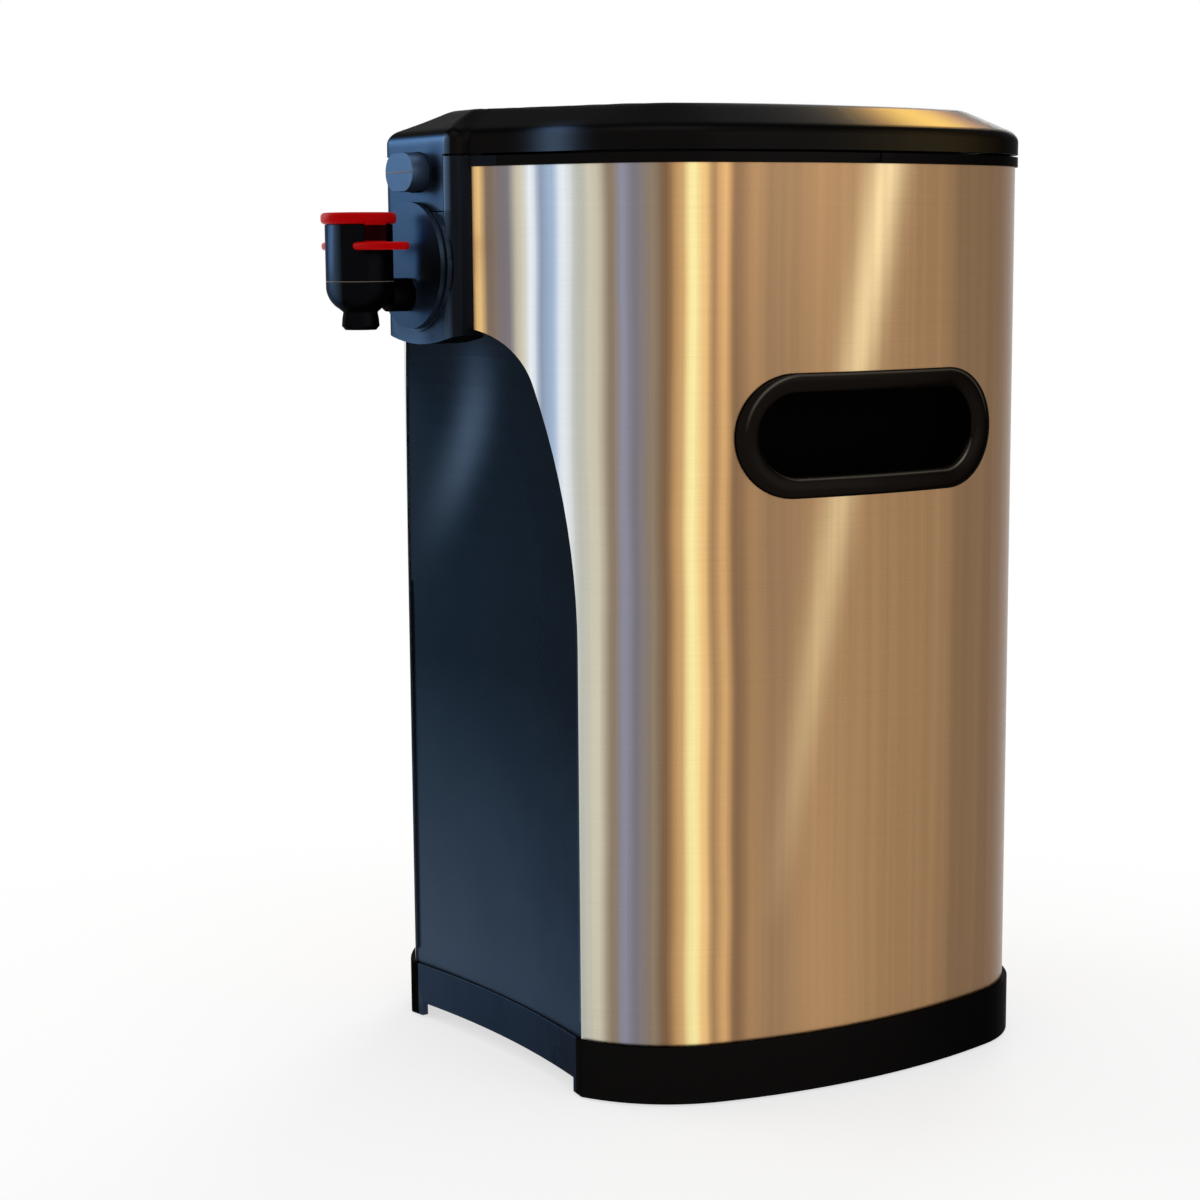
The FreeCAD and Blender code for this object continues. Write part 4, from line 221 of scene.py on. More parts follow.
class Finish:
    """A material: one shader, its constants set on its own sockets, and what varies linked to it."""

    def __init__(self, name, **constants):
        self.material = bpy.data.materials.new(name)
        self.material.use_nodes = True
        self.tree = self.material.node_tree
        self.tree.nodes.clear()
        self.shader = self.tree.nodes.new("ShaderNodeBsdfPrincipled")
        output = self.tree.nodes.new("ShaderNodeOutputMaterial")
        self.tree.links.new(self.shader.outputs[0], output.inputs["Surface"])
        for key, value in constants.items():
            self.shader.inputs[key.replace("_", " ")].default_value = value

    def node(self, kind, settings=None, output=0, **values):
        """Adds one node: its settings first, then the values or links of its sockets."""
        step = self.tree.nodes.new(kind)
        for key, value in (settings or {}).items():
            if key == "stops":
                fill_ramp(step.color_ramp, value)
            else:
                setattr(step, key, value)
        for key, value in values.items():
            name = key.replace("_", " ")
            numbered = key[0] == "i" and key[1:].isdigit()
            plug(self.tree, step.inputs[int(key[1:]) if numbered else name], value)
        return Wire(self.tree, step.outputs[output])

    def place(self):
        """Object coordinates, in metres."""
        return self.node("ShaderNodeTexCoord", output="Object")

    def axes(self):
        """Object coordinates as three numbers, in metres."""
        split = self.tree.nodes.new("ShaderNodeSeparateXYZ")
        plug(self.tree, split.inputs[0], self.place())
        return [Wire(self.tree, socket) for socket in split.outputs]

    def stretched(self, scale, turn=(0.0, 0.0, 0.0)):
        """Object coordinates scaled along each axis."""
        return self.node("ShaderNodeMapping", Vector=self.place(), Scale=scale, Rotation=turn)

    def noise(self, scale, detail=2.0, roughness=0.5, vector=None):
        """Soft noise from 0 to 1."""
        place = vector or self.place()
        return self.node("ShaderNodeTexNoise", Vector=place, Scale=scale, Detail=detail, Roughness=roughness)

    def blend(self, factor, first, second, kind="MIX"):
        """Two colours mixed by a factor."""
        picks = {"data_type": "RGBA", "blend_type": kind}
        return self.node("ShaderNodeMix", picks, output=2, i0=factor, i6=as_rgba(first), i7=as_rgba(second))

    def ramp(self, factor, stops, kind="LINEAR"):
        """A colour ramp with these stops."""
        step = self.node("ShaderNodeValToRGB", {"stops": stops}, Fac=factor)
        step.socket.node.color_ramp.interpolation = kind
        return step

    def set(self, **values):
        """Links what varies to the shader."""
        for key, value in values.items():
            plug(self.tree, self.shader.inputs[key.replace("_", " ")], value)

    def bump(self, height, distance, strength):
        """A Bump node on a height from 0 to 1."""
        return self.node("ShaderNodeBump", Height=height, Distance=distance, Strength=strength)


def as_rgba(value):
    """A wire as it is, or three numbers as a solid colour."""
    return value if isinstance(value, Wire) else (*value, 1.0)[:4]


def fill_ramp(ramp, stops):
    """Puts (position, colour) stops into a colour ramp."""
    while len(ramp.elements) > 1:
        ramp.elements.remove(ramp.elements[-1])
    for number, (position, shade) in enumerate(stops):
        stop = ramp.elements[0] if number == 0 else ramp.elements.new(position)
        stop.position = position
        stop.color = as_rgba(shade)


def dress(thing, finish):
    """Gives an object one material."""
    thing.data.materials.clear()
    thing.data.materials.append(finish.material)


# Finishes


# Gloss of waxed black plastic: nearly no white edge, and a dark tone of its own at a glancing view.
WAXED = {"specular": 0.02, "shine": 0.8}
DARK_GLANCE = (0.04, 0.04, 0.045, 1.0)
GRAIN_DEPTH = 0.00004


def moulding(name, tint, grain, gloss, mottle=0.12, specular=0.3, shine=0.0, painted_light_and_shade=()):
    """A plastic moulding: fine grain in the surface, clouds in the gloss and faint rubbed lighter patches.

    Shine is the share of its gloss that keeps a dark tone at a glancing view. Each entry of painted light and
    shade is a painted tone and the rule for its share at a spot."""
    finish = Finish(name, Specular_IOR_Level=specular, Metallic=shine, Specular_Tint=DARK_GLANCE)
    clouds = finish.noise(22.0, 3.0, 0.6)
    fine = finish.noise(1.0 / grain, 2.0, 0.55)
    wear = finish.noise(140.0, 4.0, 0.65)
    lighter = tuple(min(1.0, c * (1.0 + 2.0 * mottle) + 0.0008) for c in tint)
    base = finish.blend(clouds * 0.7 + wear * 0.3, tint, lighter)
    # Painted light and shade: each tone is blended into the base colour by its rule's share.
    for tone, rule in painted_light_and_shade:
        share = rule(*finish.axes()) * (0.85 + clouds * 0.3)
        base = finish.blend(share.clamp(), base, tone)
    finish.set(
        Base_Color=base,
        Roughness=gloss + (clouds - 0.5) * 0.10 + (wear - 0.5) * 0.08,
        Normal=finish.bump(fine * 0.8 + wear * 0.2, GRAIN_DEPTH, 0.5),
    )
    return finish


# Planes and middles of the pieces in the frame, in metres, which the painted light and shade rules below go
# by.
BODY_MIDDLE = 0.03385
COLUMN_FACE = -0.0932
COLUMN_EDGE = 0.0012
TAP_AXIS = -0.1183
BARREL_RADIUS = 0.0121
BARREL_LIGHT_SIDE = (-0.5625, 0.8268)
PLATE_FACE = -0.0988
PLATE_MIDDLE = 0.300
TONGUE_FOOT = 0.3222
BUTTON_HEIGHT = 0.3345
SLOPE_FOOT = 0.3497
SLOPE_TOP = 0.3582
HANDLE_MIDDLE = 0.2416
HANDLE_STRAIGHT = 0.0325
OPENING_EDGE = 0.01528
FRAME_EDGE = 0.0216
LEG_FOOT = 0.3110
LEG_TOP = 0.3169
HORN_GAP = 0.0577
COVE_FOOT = 0.215
HALF_TURN = 180.0


def degrees(value):
    """Degrees about the body as the share of a half turn that body_turn gives."""
    return value / HALF_TURN


def past(value, start, over):
    """How far a value has gone from the start, as a share of the way that it goes over, kept from 0 to 1."""
    return ((value - start) / over).clamp()


def short_of(value, end, over):
    """How far a value still is from the end, as a share of the way that it goes over, kept from 0 to 1."""
    return ((end - value) / over).clamp()


def body_turn(x, y):
    """Turn about the body's upright middle line, from 0 at the front to 1 at the back, on either side."""
    return x.math("ARCTAN2", abs(x), BODY_MIDDLE - y) * (1.0 / math.pi)


def column_painted_light(x, y, z):
    """Painted light on the column's face and its button's face, with the plate's painted shade on the boss at
    the right.
    """
    shade = past(x, 0.001, 0.008) * z.bell(PLATE_MIDDLE, 0.026) * short_of(z, TONGUE_FOOT, 0.001)
    return short_of(y, COLUMN_FACE, COLUMN_EDGE) * (1.0 - shade * 0.92)


def lid_painted_light(x, y, z):
    """Painted light on the tongue and the bump over it, the button's painted shadow, and a painted reflection
    over the body's corner.
    """
    corner_reflection = body_turn(x, y).bell(degrees(27.6), 0.022) * short_of(z, 0.3525, 0.003)
    shade = x.bell(0.0135, 0.0050) * z.bell(BUTTON_HEIGHT, 0.0075) * 0.9
    glow = short_of(y, COLUMN_FACE, COLUMN_EDGE) * (1.0 - shade) * (0.72 + z.bell(0.3493, 0.0026) * 0.8)
    return (glow + corner_reflection * 0.60).clamp()


def lid_painted_sheen(x, y, z):
    """A golden painted reflection on the slope over the long side, which fades along it, and a trace of it on
    the rim.
    """
    slope = past(z, SLOPE_FOOT, 0.0012) * short_of(z, SLOPE_TOP, 0.0010)
    rim = short_of(z, SLOPE_FOOT, 0.0012)
    return body_turn(x, y).bell(degrees(106.0), degrees(17.0)) * (slope * 0.95 + rim * 0.02)


def handle_painted_highlights(x, y, z):
    """Two thin painted highlight lines on a handle's frame: under its opening, and over its top.

    The distance is that of a rounded slot: how far a spot lies from the slot's straight middle line."""
    above = z - HANDLE_MIDDLE
    along = y.math("MAXIMUM", abs(y - BODY_MIDDLE) - HANDLE_STRAIGHT, 0.0)
    away = (along * along + above * above) ** 0.5
    inner = away.bell(OPENING_EDGE, 0.00040) * short_of(above, -0.004, 0.006)
    outer = away.bell(FRAME_EDGE, 0.00040) * past(above, 0.002, 0.010)
    return (inner + outer * 0.45).clamp()


def handle_leg_shade(x, y, z):
    """Painted shade on the legs between the wings and the rim."""
    return past(z, LEG_FOOT, 0.0003) * short_of(z, LEG_TOP, 0.0003)


def base_front_light(x, y, z):
    """Painted light on the hollow front between the horns."""
    return short_of(abs(x), HORN_GAP, 0.0004) * short_of(y, -0.046, 0.002) * 0.55


def panel_painted_sheen(x, y, z):
    """Painted light that grows towards the foot, and a painted highlight in the cove that runs up to the
    panel's top.
    """
    foot = short_of(z, 0.150, 0.12) * 0.36
    cove = (x + 0.030 - (z - COVE_FOOT) * 0.75).bell(0.0, 0.013) * z.bell(0.242, 0.032)
    return (foot + cove * 0.62).clamp()


def barrel_painted_light(x, y, z):
    """A painted highlight strip down the barrel's front left side, and painted light on the face of the
    pipe's plate with painted shade on its right.
    """
    across = (x * BARREL_LIGHT_SIDE[0] + (TAP_AXIS - y) * BARREL_LIGHT_SIDE[1]) / BARREL_RADIUS
    strip = ((across - 0.42) * 2.6).clamp() * 0.95
    shade = past(x, 0.004, 0.006) * z.bell(PLATE_MIDDLE, 0.013)
    plate = past(y, PLATE_FACE, 0.0006) * (1.0 - shade * 0.9)
    return (strip + plate).clamp()


def sprung_steel(name):
    """Bare spring steel: straw and blue heat tint in soft patches, with rolled lines."""
    finish = Finish(name, Metallic=1.0)
    patches = finish.noise(90.0, 3.0, 0.6)
    lines = finish.noise(1.0, 3.0, 0.6, finish.stretched((300.0, 300.0, 4000.0)))
    straw, blue = (0.46, 0.43, 0.37), (0.38, 0.40, 0.46)
    tint = finish.ramp(patches, [(0.3, (0.34, 0.33, 0.32)), (0.55, straw), (0.75, blue)])
    finish.set(Base_Color=tint, Roughness=0.28 + lines * 0.16, Normal=finish.bump(lines, 0.00003, 0.4))
    return finish


def zinc(name):
    """Bright zinc plating: cool grey with a fine spangle."""
    finish = Finish(name, Metallic=1.0)
    spangle = finish.node("ShaderNodeTexVoronoi", Vector=finish.place(), Scale=900.0)
    haze = finish.noise(260.0, 3.0)
    finish.set(
        Base_Color=finish.blend(haze, (0.52, 0.54, 0.57), (0.66, 0.66, 0.64)),
        Roughness=0.24 + spangle * 0.14 + haze * 0.06,
        Normal=finish.bump(spangle, 0.00002, 0.4),
    )
    return finish


def rubber(name):
    """Matt black rubber with a dusty bloom and a pebbled skin."""
    finish = Finish(name, Specular_IOR_Level=0.25)
    bloom = finish.noise(60.0, 4.0, 0.65)
    pebble = finish.node("ShaderNodeTexVoronoi", Vector=finish.place(), Scale=1600.0)
    finish.set(
        Base_Color=finish.blend(bloom, (0.012, 0.012, 0.012), (0.034, 0.033, 0.032)),
        Roughness=0.72 + bloom * 0.16,
        Normal=finish.bump(pebble, 0.00006, 0.6),
    )
    return finish


# Tones of the painted reflections in the steel, linear.
REFLECTION_TONES = {
    "russet": (0.225, 0.132, 0.066),
    "glint": (1.000, 0.780, 0.420),
    "brown": (0.215, 0.122, 0.063),
    "dusk": (0.235, 0.170, 0.120),
    "dun": (0.270, 0.160, 0.082),
    "fawn": (0.345, 0.200, 0.095),
    "tan": (0.400, 0.230, 0.105),
    "umber": (0.280, 0.213, 0.145),
    "sand": (0.620, 0.360, 0.150),
    "gold": (0.900, 0.580, 0.240),
    "bright": (1.000, 0.880, 0.400),
    "mauve": (0.215, 0.195, 0.215),
    "lavender": (0.285, 0.285, 0.360),
    "pearl": (0.650, 0.600, 0.460),
    "silver": (0.520, 0.520, 0.460),
    "slate": (0.305, 0.375, 0.500),
    "sky": (0.380, 0.500, 0.680),
    "white": (0.840, 0.880, 0.920),
}

# Painted reflections: soft vertical bands of the steel, from the front round to the back: angle in degrees
# and tone.
REFLECTION_BANDS = [
    (0.0, "tan"), (10.8, "tan"), (12.4, "gold"), (14.2, "dusk"), (18.0, "mauve"), (20.6, "pearl"),
    (22.6, "white"), (24.6, "slate"), (26.6, "sky"), (28.8, "white"), (31.8, "silver"), (34.4, "pearl"),
    (37.8, "umber"), (39.8, "lavender"), (42.0, "mauve"), (45.0, "umber"), (47.0, "brown"), (49.6, "sand"),
    (51.8, "bright"), (53.6, "gold"), (55.4, "tan"), (57.4, "sand"), (59.6, "brown"), (63.0, "fawn"),
    (67.0, "dun"), (78.0, "fawn"), (92.0, "fawn"), (104.0, "fawn"), (113.5, "russet"), (126.0, "brown"),
    (150.0, "tan"), (174.0, "silver"),
]


# The leaning painted highlight streak: its place at the foot in degrees, and its lean in degrees per metre of
# height.
STREAK_FOOT = 61.2
STREAK_LEAN = 92.0


def brushed_wrap(name, pitch):
    """Brushed stainless steel: long fine lines along the sheet, over soft upright bands of painted
    reflection.
    """
    finish = Finish(name, Metallic=1.0)
    x, y, z = finish.axes()
    wander = finish.noise(1.0, 2.0, 0.5, finish.stretched((18.0, 18.0, 9.0)))
    turn = body_turn(x, y) + (wander - 0.5) * 0.010
    bands = finish.ramp(turn, [(degrees(place), REFLECTION_TONES[tone]) for place, tone in REFLECTION_BANDS], "EASE")
    brush = finish.noise(1.0, 3.0, 0.7, finish.stretched((9.0, 9.0, 1.0 / pitch)))
    broad = finish.noise(1.0, 2.0, 0.5, finish.stretched((5.0, 5.0, 420.0)))
    upright = finish.node("ShaderNodeCombineXYZ", X=turn * 95.0, Y=z * 2.2)
    fine_bands = finish.noise(1.0, 3.0, 0.6, upright)
    # A painted highlight streak leans across the side, strong under the lid and gone below the handle.
    leaning = turn * HALF_TURN - (STREAK_FOOT + z * STREAK_LEAN)
    streak = leaning.bell(0.0, 2.9 + z * 4.5) * ((z - 0.06) * 3.6).clamp()
    lit = finish.blend(streak * 0.72, bands, REFLECTION_TONES["glint"])
    # Painted light: the side grows lighter towards the foot.
    foot = (turn * HALF_TURN).bell(74.0, 16.0) * ((0.26 - z) * 1.6).clamp()
    shade = 0.97 + foot + (brush - 0.5) * 0.13 + (broad - 0.5) * 0.03 + (fine_bands - 0.5) * 0.40
    grey = finish.node("ShaderNodeCombineColor", Red=shade, Green=shade, Blue=shade)
    finish.set(
        Base_Color=finish.blend(1.0, lit, grey, "MULTIPLY"),
        Roughness=0.30 + (brush - 0.5) * 0.16 + (broad - 0.5) * 0.05,
        Normal=finish.bump(brush, 0.00003, 0.35),
    )
    return finish


WHITE = (1.0, 1.0, 1.0, 1.0)


def seen_directly(tree):
    """1 for what is seen, straight, in a reflection or through glass, and 0 for the light it gives."""
    path = tree.nodes.new("ShaderNodeLightPath")
    seen = Wire(tree, path.outputs["Is Camera Ray"]) + Wire(tree, path.outputs["Is Glossy Ray"])
    return (seen + Wire(tree, path.outputs["Is Transmission Ray"])).clamp()


def plain_floor(name, tint):
    """Pale floor that goes over into white far from the object."""
    finish = Finish(name, Specular_IOR_Level=0.0, Roughness=0.9)
    dust = finish.noise(3.0, 2.0)
    finish.set(Base_Color=finish.blend(dust * 0.04, tint, (1.0, 1.0, 1.0)))
    tree = finish.tree
    glow = tree.nodes.new("ShaderNodeEmission")
    glow.inputs["Color"].default_value = WHITE
    reach = finish.node("ShaderNodeVectorMath", {"operation": "LENGTH"}, output=1, i0=finish.place())
    pick = tree.nodes.new("ShaderNodeMixShader")
    plug(tree, pick.inputs[0], seen_directly(tree) * (0.66 + past(reach, 0.28, 0.5) * 0.34))
    tree.links.new(finish.shader.outputs[0], pick.inputs[1])
    tree.links.new(glow.outputs[0], pick.inputs[2])
    output = next(n for n in tree.nodes if n.bl_idname == "ShaderNodeOutputMaterial")
    tree.links.new(pick.outputs[0], output.inputs["Surface"])
    return finish


# Studio

# Each lamp: its power setting, its place and its side, in metres.
LAMPS = [
    ("key", (-1.35, -0.95, 0.75), 0.9),
    ("fill", (1.9, 0.5, 0.9), 1.4),
    ("back", (-0.9, 1.2, 0.95), 0.6),
    ("top", (0.1, -0.1, 1.9), 1.3),
]
LAMP_AIM = (0.0, 0.0, 0.18)


class DISPENSER_OT_stage(bpy.types.Operator):
    """Floor, backdrop light, lamps and camera"""

    bl_idname = "dispenser.stage"
    bl_label = "Studio"

    def execute(self, context):
        studio = settings().studio
        reach = studio.floor_reach
        corners = [(-reach, -reach, 0), (reach, -reach, 0), (reach, reach, 0), (-reach, reach, 0)]
        mesh = bpy.data.meshes.new("studio_floor")
        mesh.from_pydata(corners, [], [(0, 1, 2, 3)])
        floor = bpy.data.objects.new("studio_floor", mesh)
        context.scene.collection.objects.link(floor)
        dress(floor, plain_floor("pale floor", studio.floor_colour))
        light_room(context.scene, studio.room_level)
        for name, place, side in LAMPS:
            add_lamp(name + " lamp", place, side, getattr(studio, name + "_power"))
        place_camera(context.scene, studio)
        context.scene.view_settings.view_transform = "Standard"
        return {"FINISHED"}


def light_room(scene, level):
    """White behind the object and in its reflections, and an even soft light for everything else."""
    world = bpy.data.worlds.new("studio")
    scene.world = world
    world.use_nodes = True
    tree = world.node_tree
    tree.nodes.clear()
    output = tree.nodes.new("ShaderNodeOutputWorld")
    pick = tree.nodes.new("ShaderNodeMixShader")
    soft, white = (tree.nodes.new("ShaderNodeBackground") for _ in range(2))
    for light, power in ((soft, level), (white, 1.0)):
        light.inputs["Color"].default_value = WHITE
        light.inputs["Strength"].default_value = power
    plug(tree, pick.inputs[0], seen_directly(tree))
    tree.links.new(soft.outputs[0], pick.inputs[1])
    tree.links.new(white.outputs[0], pick.inputs[2])
    tree.links.new(pick.outputs[0], output.inputs["Surface"])


def add_lamp(name, place, side, power):
    """A square soft lamp that faces the middle of the object."""
    lamp = bpy.data.lights.new(name, "AREA")
    lamp.shape = "SQUARE"
    lamp.size = side
    lamp.energy = power
    thing = bpy.data.objects.new(name, lamp)
    bpy.context.scene.collection.objects.link(thing)
    aim = Vector(LAMP_AIM) - Vector(place)
    thing.matrix_world = Matrix.Translation(place) @ aim.to_track_quat("-Z", "Y").to_matrix().to_4x4()


def place_camera(scene, studio):
    """Camera from its place, its turn to the right of the front, its dip and its roll."""
    turn, dip, roll = studio.camera_turn, studio.camera_dip, studio.camera_roll
    ahead = Vector((-math.sin(turn) * math.cos(dip), math.cos(turn) * math.cos(dip), -math.sin(dip)))
    level = Vector((math.cos(turn), math.sin(turn), 0.0))
    upright = level.cross(ahead)
    right = math.cos(roll) * level + math.sin(roll) * upright
    up = math.cos(roll) * upright - math.sin(roll) * level
    lens = bpy.data.cameras.new("photo view")
    lens.lens = studio.camera_lens
    lens.sensor_width = 36.0
    lens.clip_start = 0.01
    camera = bpy.data.objects.new("photo view", lens)
    scene.collection.objects.link(camera)
    turned = Matrix((right, up, -ahead)).transposed().to_4x4()
    camera.matrix_world = Matrix.Translation(studio.camera_place) @ turned
    scene.camera = camera


INNER_GREY = [
    "chamber_liner", "lift_platform", "guide_shoe_left", "guide_shoe_right", "guide_rails_left",
    "guide_rails_right", "spool_hub_left", "spool_hub_right", "catch_ears", "platform_catch", "lid_plug",
    "latch_hook", "latch_guide", "valve_stem", "spout_gland",
]
ZINC_PARTS = [
    "base_screws", "deck_screws", "strip_clip_left", "strip_clip_right", "spring_bracket_left",
    "spring_bracket_right", "spool_pin_left", "spool_pin_right", "bracket_screws", "catch_pin", "lid_screws",
]
SPRING_PARTS = ["spring_coil_left", "spring_coil_right"]
RUBBER_PARTS = ["rubber_feet", "platform_pad", "lid_seal", "valve_seal"]


class DISPENSER_OT_finishes(bpy.types.Operator):
    """Finishes, and the parts that keep their CAD shape"""

    bl_idname = "dispenser.finishes"
    bl_label = "Finishes"

    def execute(self, context):
        look = settings().finish
        # Each waxed moulding: its tint, its roughness, and its painted light and shade, each a tone with its
        # rule.
        waxed = {
            "black": ("satin black", look.black, 0.34, []),
            "lid": ("lid black", look.black, 0.30, [(look.upper_painted_light, lid_painted_light), (look.warm_painted_sheen, lid_painted_sheen)]),
            "base": ("base black", look.black, 0.36, [(look.front, base_front_light)]),
            "column": ("column black", look.column, 0.34, [(look.upper_painted_light, column_painted_light)]),
            "panel": ("panel blue-black", look.panel, 0.38, [(look.panel_painted_light, panel_painted_sheen)]),
            "handle": ("handle black", look.handle_black, 0.22, [(look.edge, handle_painted_highlights)]),
            "tap": ("tap black", look.tap_black, 0.30, [(look.front, barrel_painted_light)]),
        }
        for key, (name, tint, gloss, painted_light_and_shade) in waxed.items():
            FINISHES[key] = moulding(name, tint, look.grain, gloss, **WAXED, painted_light_and_shade=painted_light_and_shade)
        # Painted shade on the legs of the tap's handle.
        legs = [(look.red_in_shade, handle_leg_shade)]
        # Painted shade: the cups are much darker than the frames and have no gloss.
        FINISHES["cup"] = moulding("cup black", look.cup_shaded_black, look.grain, 0.5, specular=0.0)
        FINISHES["red"] = moulding("red", look.red, look.grain, 0.30, 0.06, 0.05, painted_light_and_shade=legs)
        # Painted highlight: the pale tone of the seam ridges.
        FINISHES["seam"] = moulding("worn seam", look.edge, look.grain, 0.4)
        FINISHES["grey"] = moulding("inner grey", look.grey, look.grain, 0.5, 0.08, 0.4)
        FINISHES["spring"] = sprung_steel("spring steel")
        groups = [
            (INNER_GREY, FINISHES["grey"]),
            (ZINC_PARTS, zinc("zinc")),
            (SPRING_PARTS, FINISHES["spring"]),
            (RUBBER_PARTS, rubber("rubber")),
            (["front_scoop_panel"], FINISHES["panel"]),
            (["steel_wrap"], brushed_wrap("brushed steel", look.brush_pitch)),
        ]
        for names, finish in groups:
            for name in names:
                dress(NODES[name], finish)
        return {"FINISHED"}


# Surfaces


def to_frame(points):
    """Millimetres of the drawing, whose Y starts at the base's horns, to metres of the shared frame."""
    return (np.asarray(points, float) - (0.0, DRAWING_SHIFT, 0.0)) * MM


def strip_faces(rows, columns, closed):
    """Quads of a grid of rows by columns, closed or open across; they face along columns x rows."""
    row = np.arange(rows - 1)[:, None]
    column = np.arange(columns if closed else columns - 1)[None, :]
    after = (column + 1) % columns
    here, above = row * columns, (row + 1) * columns
    corners = (here + column, here + after, above + after, above + column)
    return np.stack([corner.ravel() for corner in corners], 1)


def grid_piece(name, grids, flip=False):
    """One mesh from grids of points (rows, columns, 3) in millimetres, each with its closed mark.

    The grids are welded where they meet."""
    points, faces, count = [], [], 0
    for grid, closed in grids:
        rows, columns = grid.shape[:2]
        quads = strip_faces(rows, columns, closed)
        points.append(grid.reshape(-1, 3))
        faces.append((quads[:, ::-1] if flip else quads) + count)
        count += rows * columns
    mesh = bpy.data.meshes.new(name)
    mesh.from_pydata(to_frame(np.concatenate(points)).tolist(), [], np.concatenate(faces).tolist())
    piece = bpy.data.objects.new(name, mesh)
    bpy.context.scene.collection.objects.link(piece)
    weld(mesh)
    return piece


# Points this near to each other are one point, and edges that turn more than this stay sharp.
SAME_POINT = 2e-6
SHARP = math.radians(34.0)
FLAT = math.radians(0.4)


def weld(mesh, outward=False):
    """Merges points that coincide, which closes seams and poles, and smooths the shading."""
    work = bmesh.new()
    work.from_mesh(mesh)
    bmesh.ops.remove_doubles(work, verts=work.verts, dist=SAME_POINT)
    bmesh.ops.dissolve_degenerate(work, edges=work.edges, dist=1e-7)
    if outward:
        bmesh.ops.recalc_face_normals(work, faces=work.faces)
    for face in work.faces:
        face.smooth = True
    work.to_mesh(mesh)
    work.free()
    mesh.set_sharp_from_angle(angle=SHARP)


def thicken(piece, thickness):
    """Gives a surface a wall, grown inwards."""
    wall = piece.modifiers.new("wall", "SOLIDIFY")
    wall.thickness = thickness * MM
    wall.offset = -1.0
    wall.use_even_offset = True


def soften(piece, width, sharp=SHARP):
    """Rounds the edges that turn more than the sharp angle."""
    edge = piece.modifiers.new("edges", "BEVEL")
    edge.width = width * MM
    edge.segments = 2
    edge.limit_method = "ANGLE"
    edge.angle_limit = sharp
    edge.harden_normals = True
    edge.miter_outer = "MITER_ARC"


def settle(piece):
    """Makes the modifiers part of the mesh."""
    view = bpy.context.evaluated_depsgraph_get()
    done = bpy.data.meshes.new_from_object(piece.evaluated_get(view))
    piece.modifiers.clear()
    piece.data = done


def carve(piece, cutter):
    """Takes the cutter's space out of a closed piece, and removes the cutter."""
    settle(piece)
    cut = piece.modifiers.new("opening", "BOOLEAN")
    cut.operation = "DIFFERENCE"
    cut.solver = "EXACT"
    cut.object = cutter
    settle(piece)
    bpy.data.objects.remove(cutter)


def fit(piece, body, slot, finish, *nodes):
    """Puts a piece on its body, in the place of its CAD nodes."""
    dress(piece, finish)
    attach(piece, body)
    if nodes:
        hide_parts(*nodes)


def node_copy(node, ending):
    """A new object with a copy of a CAD node's mesh."""
    mesh = NODES[node].data.copy()
    mesh.name = node + ending
    piece = bpy.data.objects.new(node + ending, mesh)
    bpy.context.scene.collection.objects.link(piece)
    return piece


def rounded_copy(node, body, finish, width):
    """A welded copy of a CAD mesh with its flat faces made whole and its sharp edges rounded."""
    piece = node_copy(node, "_moulded")
    mesh = piece.data
    if mesh.has_custom_normals:
        mesh.normals_split_custom_set([(0.0, 0.0, 0.0)] * len(mesh.loops))
    work = bmesh.new()
    work.from_mesh(mesh)
    bmesh.ops.remove_doubles(work, verts=work.verts, dist=SAME_POINT)
    bmesh.ops.dissolve_limit(work, angle_limit=FLAT, verts=work.verts, edges=work.edges)
    for face in work.faces:
        face.smooth = True
    work.to_mesh(mesh)
    work.free()
    mesh.set_sharp_from_angle(angle=SHARP)
    soften(piece, width)
    fit(piece, body, node, finish, node)


def arc_run(centre, radius, start, end, step):
    """Points and outward normals along an arc, about one step apart, without its last point."""
    count = max(2, int(abs(end - start) * radius / step))
    turn = np.linspace(start, end, count, endpoint=False)
    out = np.stack([np.cos(turn), np.sin(turn)], 1)
    return np.asarray(centre) + radius * out, out


# Plan of the body at the steel's face, in millimetres of the drawing: the centres and radii of its arcs.
NOSE_CENTRE, NOSE_RADIUS, NOSE_TURN = np.array([0.0, 27.8]), 53.0, math.radians(28.0)
CORNER_RADIUS = 63.0
SIDE_CENTRE, SIDE_RADIUS = np.array([-138.0, 114.0]), 244.0
TURN_RADIUS = 38.0
BACK_CENTRE, BACK_RADIUS = np.array([0.0, -254.0]), 450.0


def bearing(start, end):
    """Direction from one point to another, as an angle."""
    return math.atan2(end[1] - start[1], end[0] - start[0])


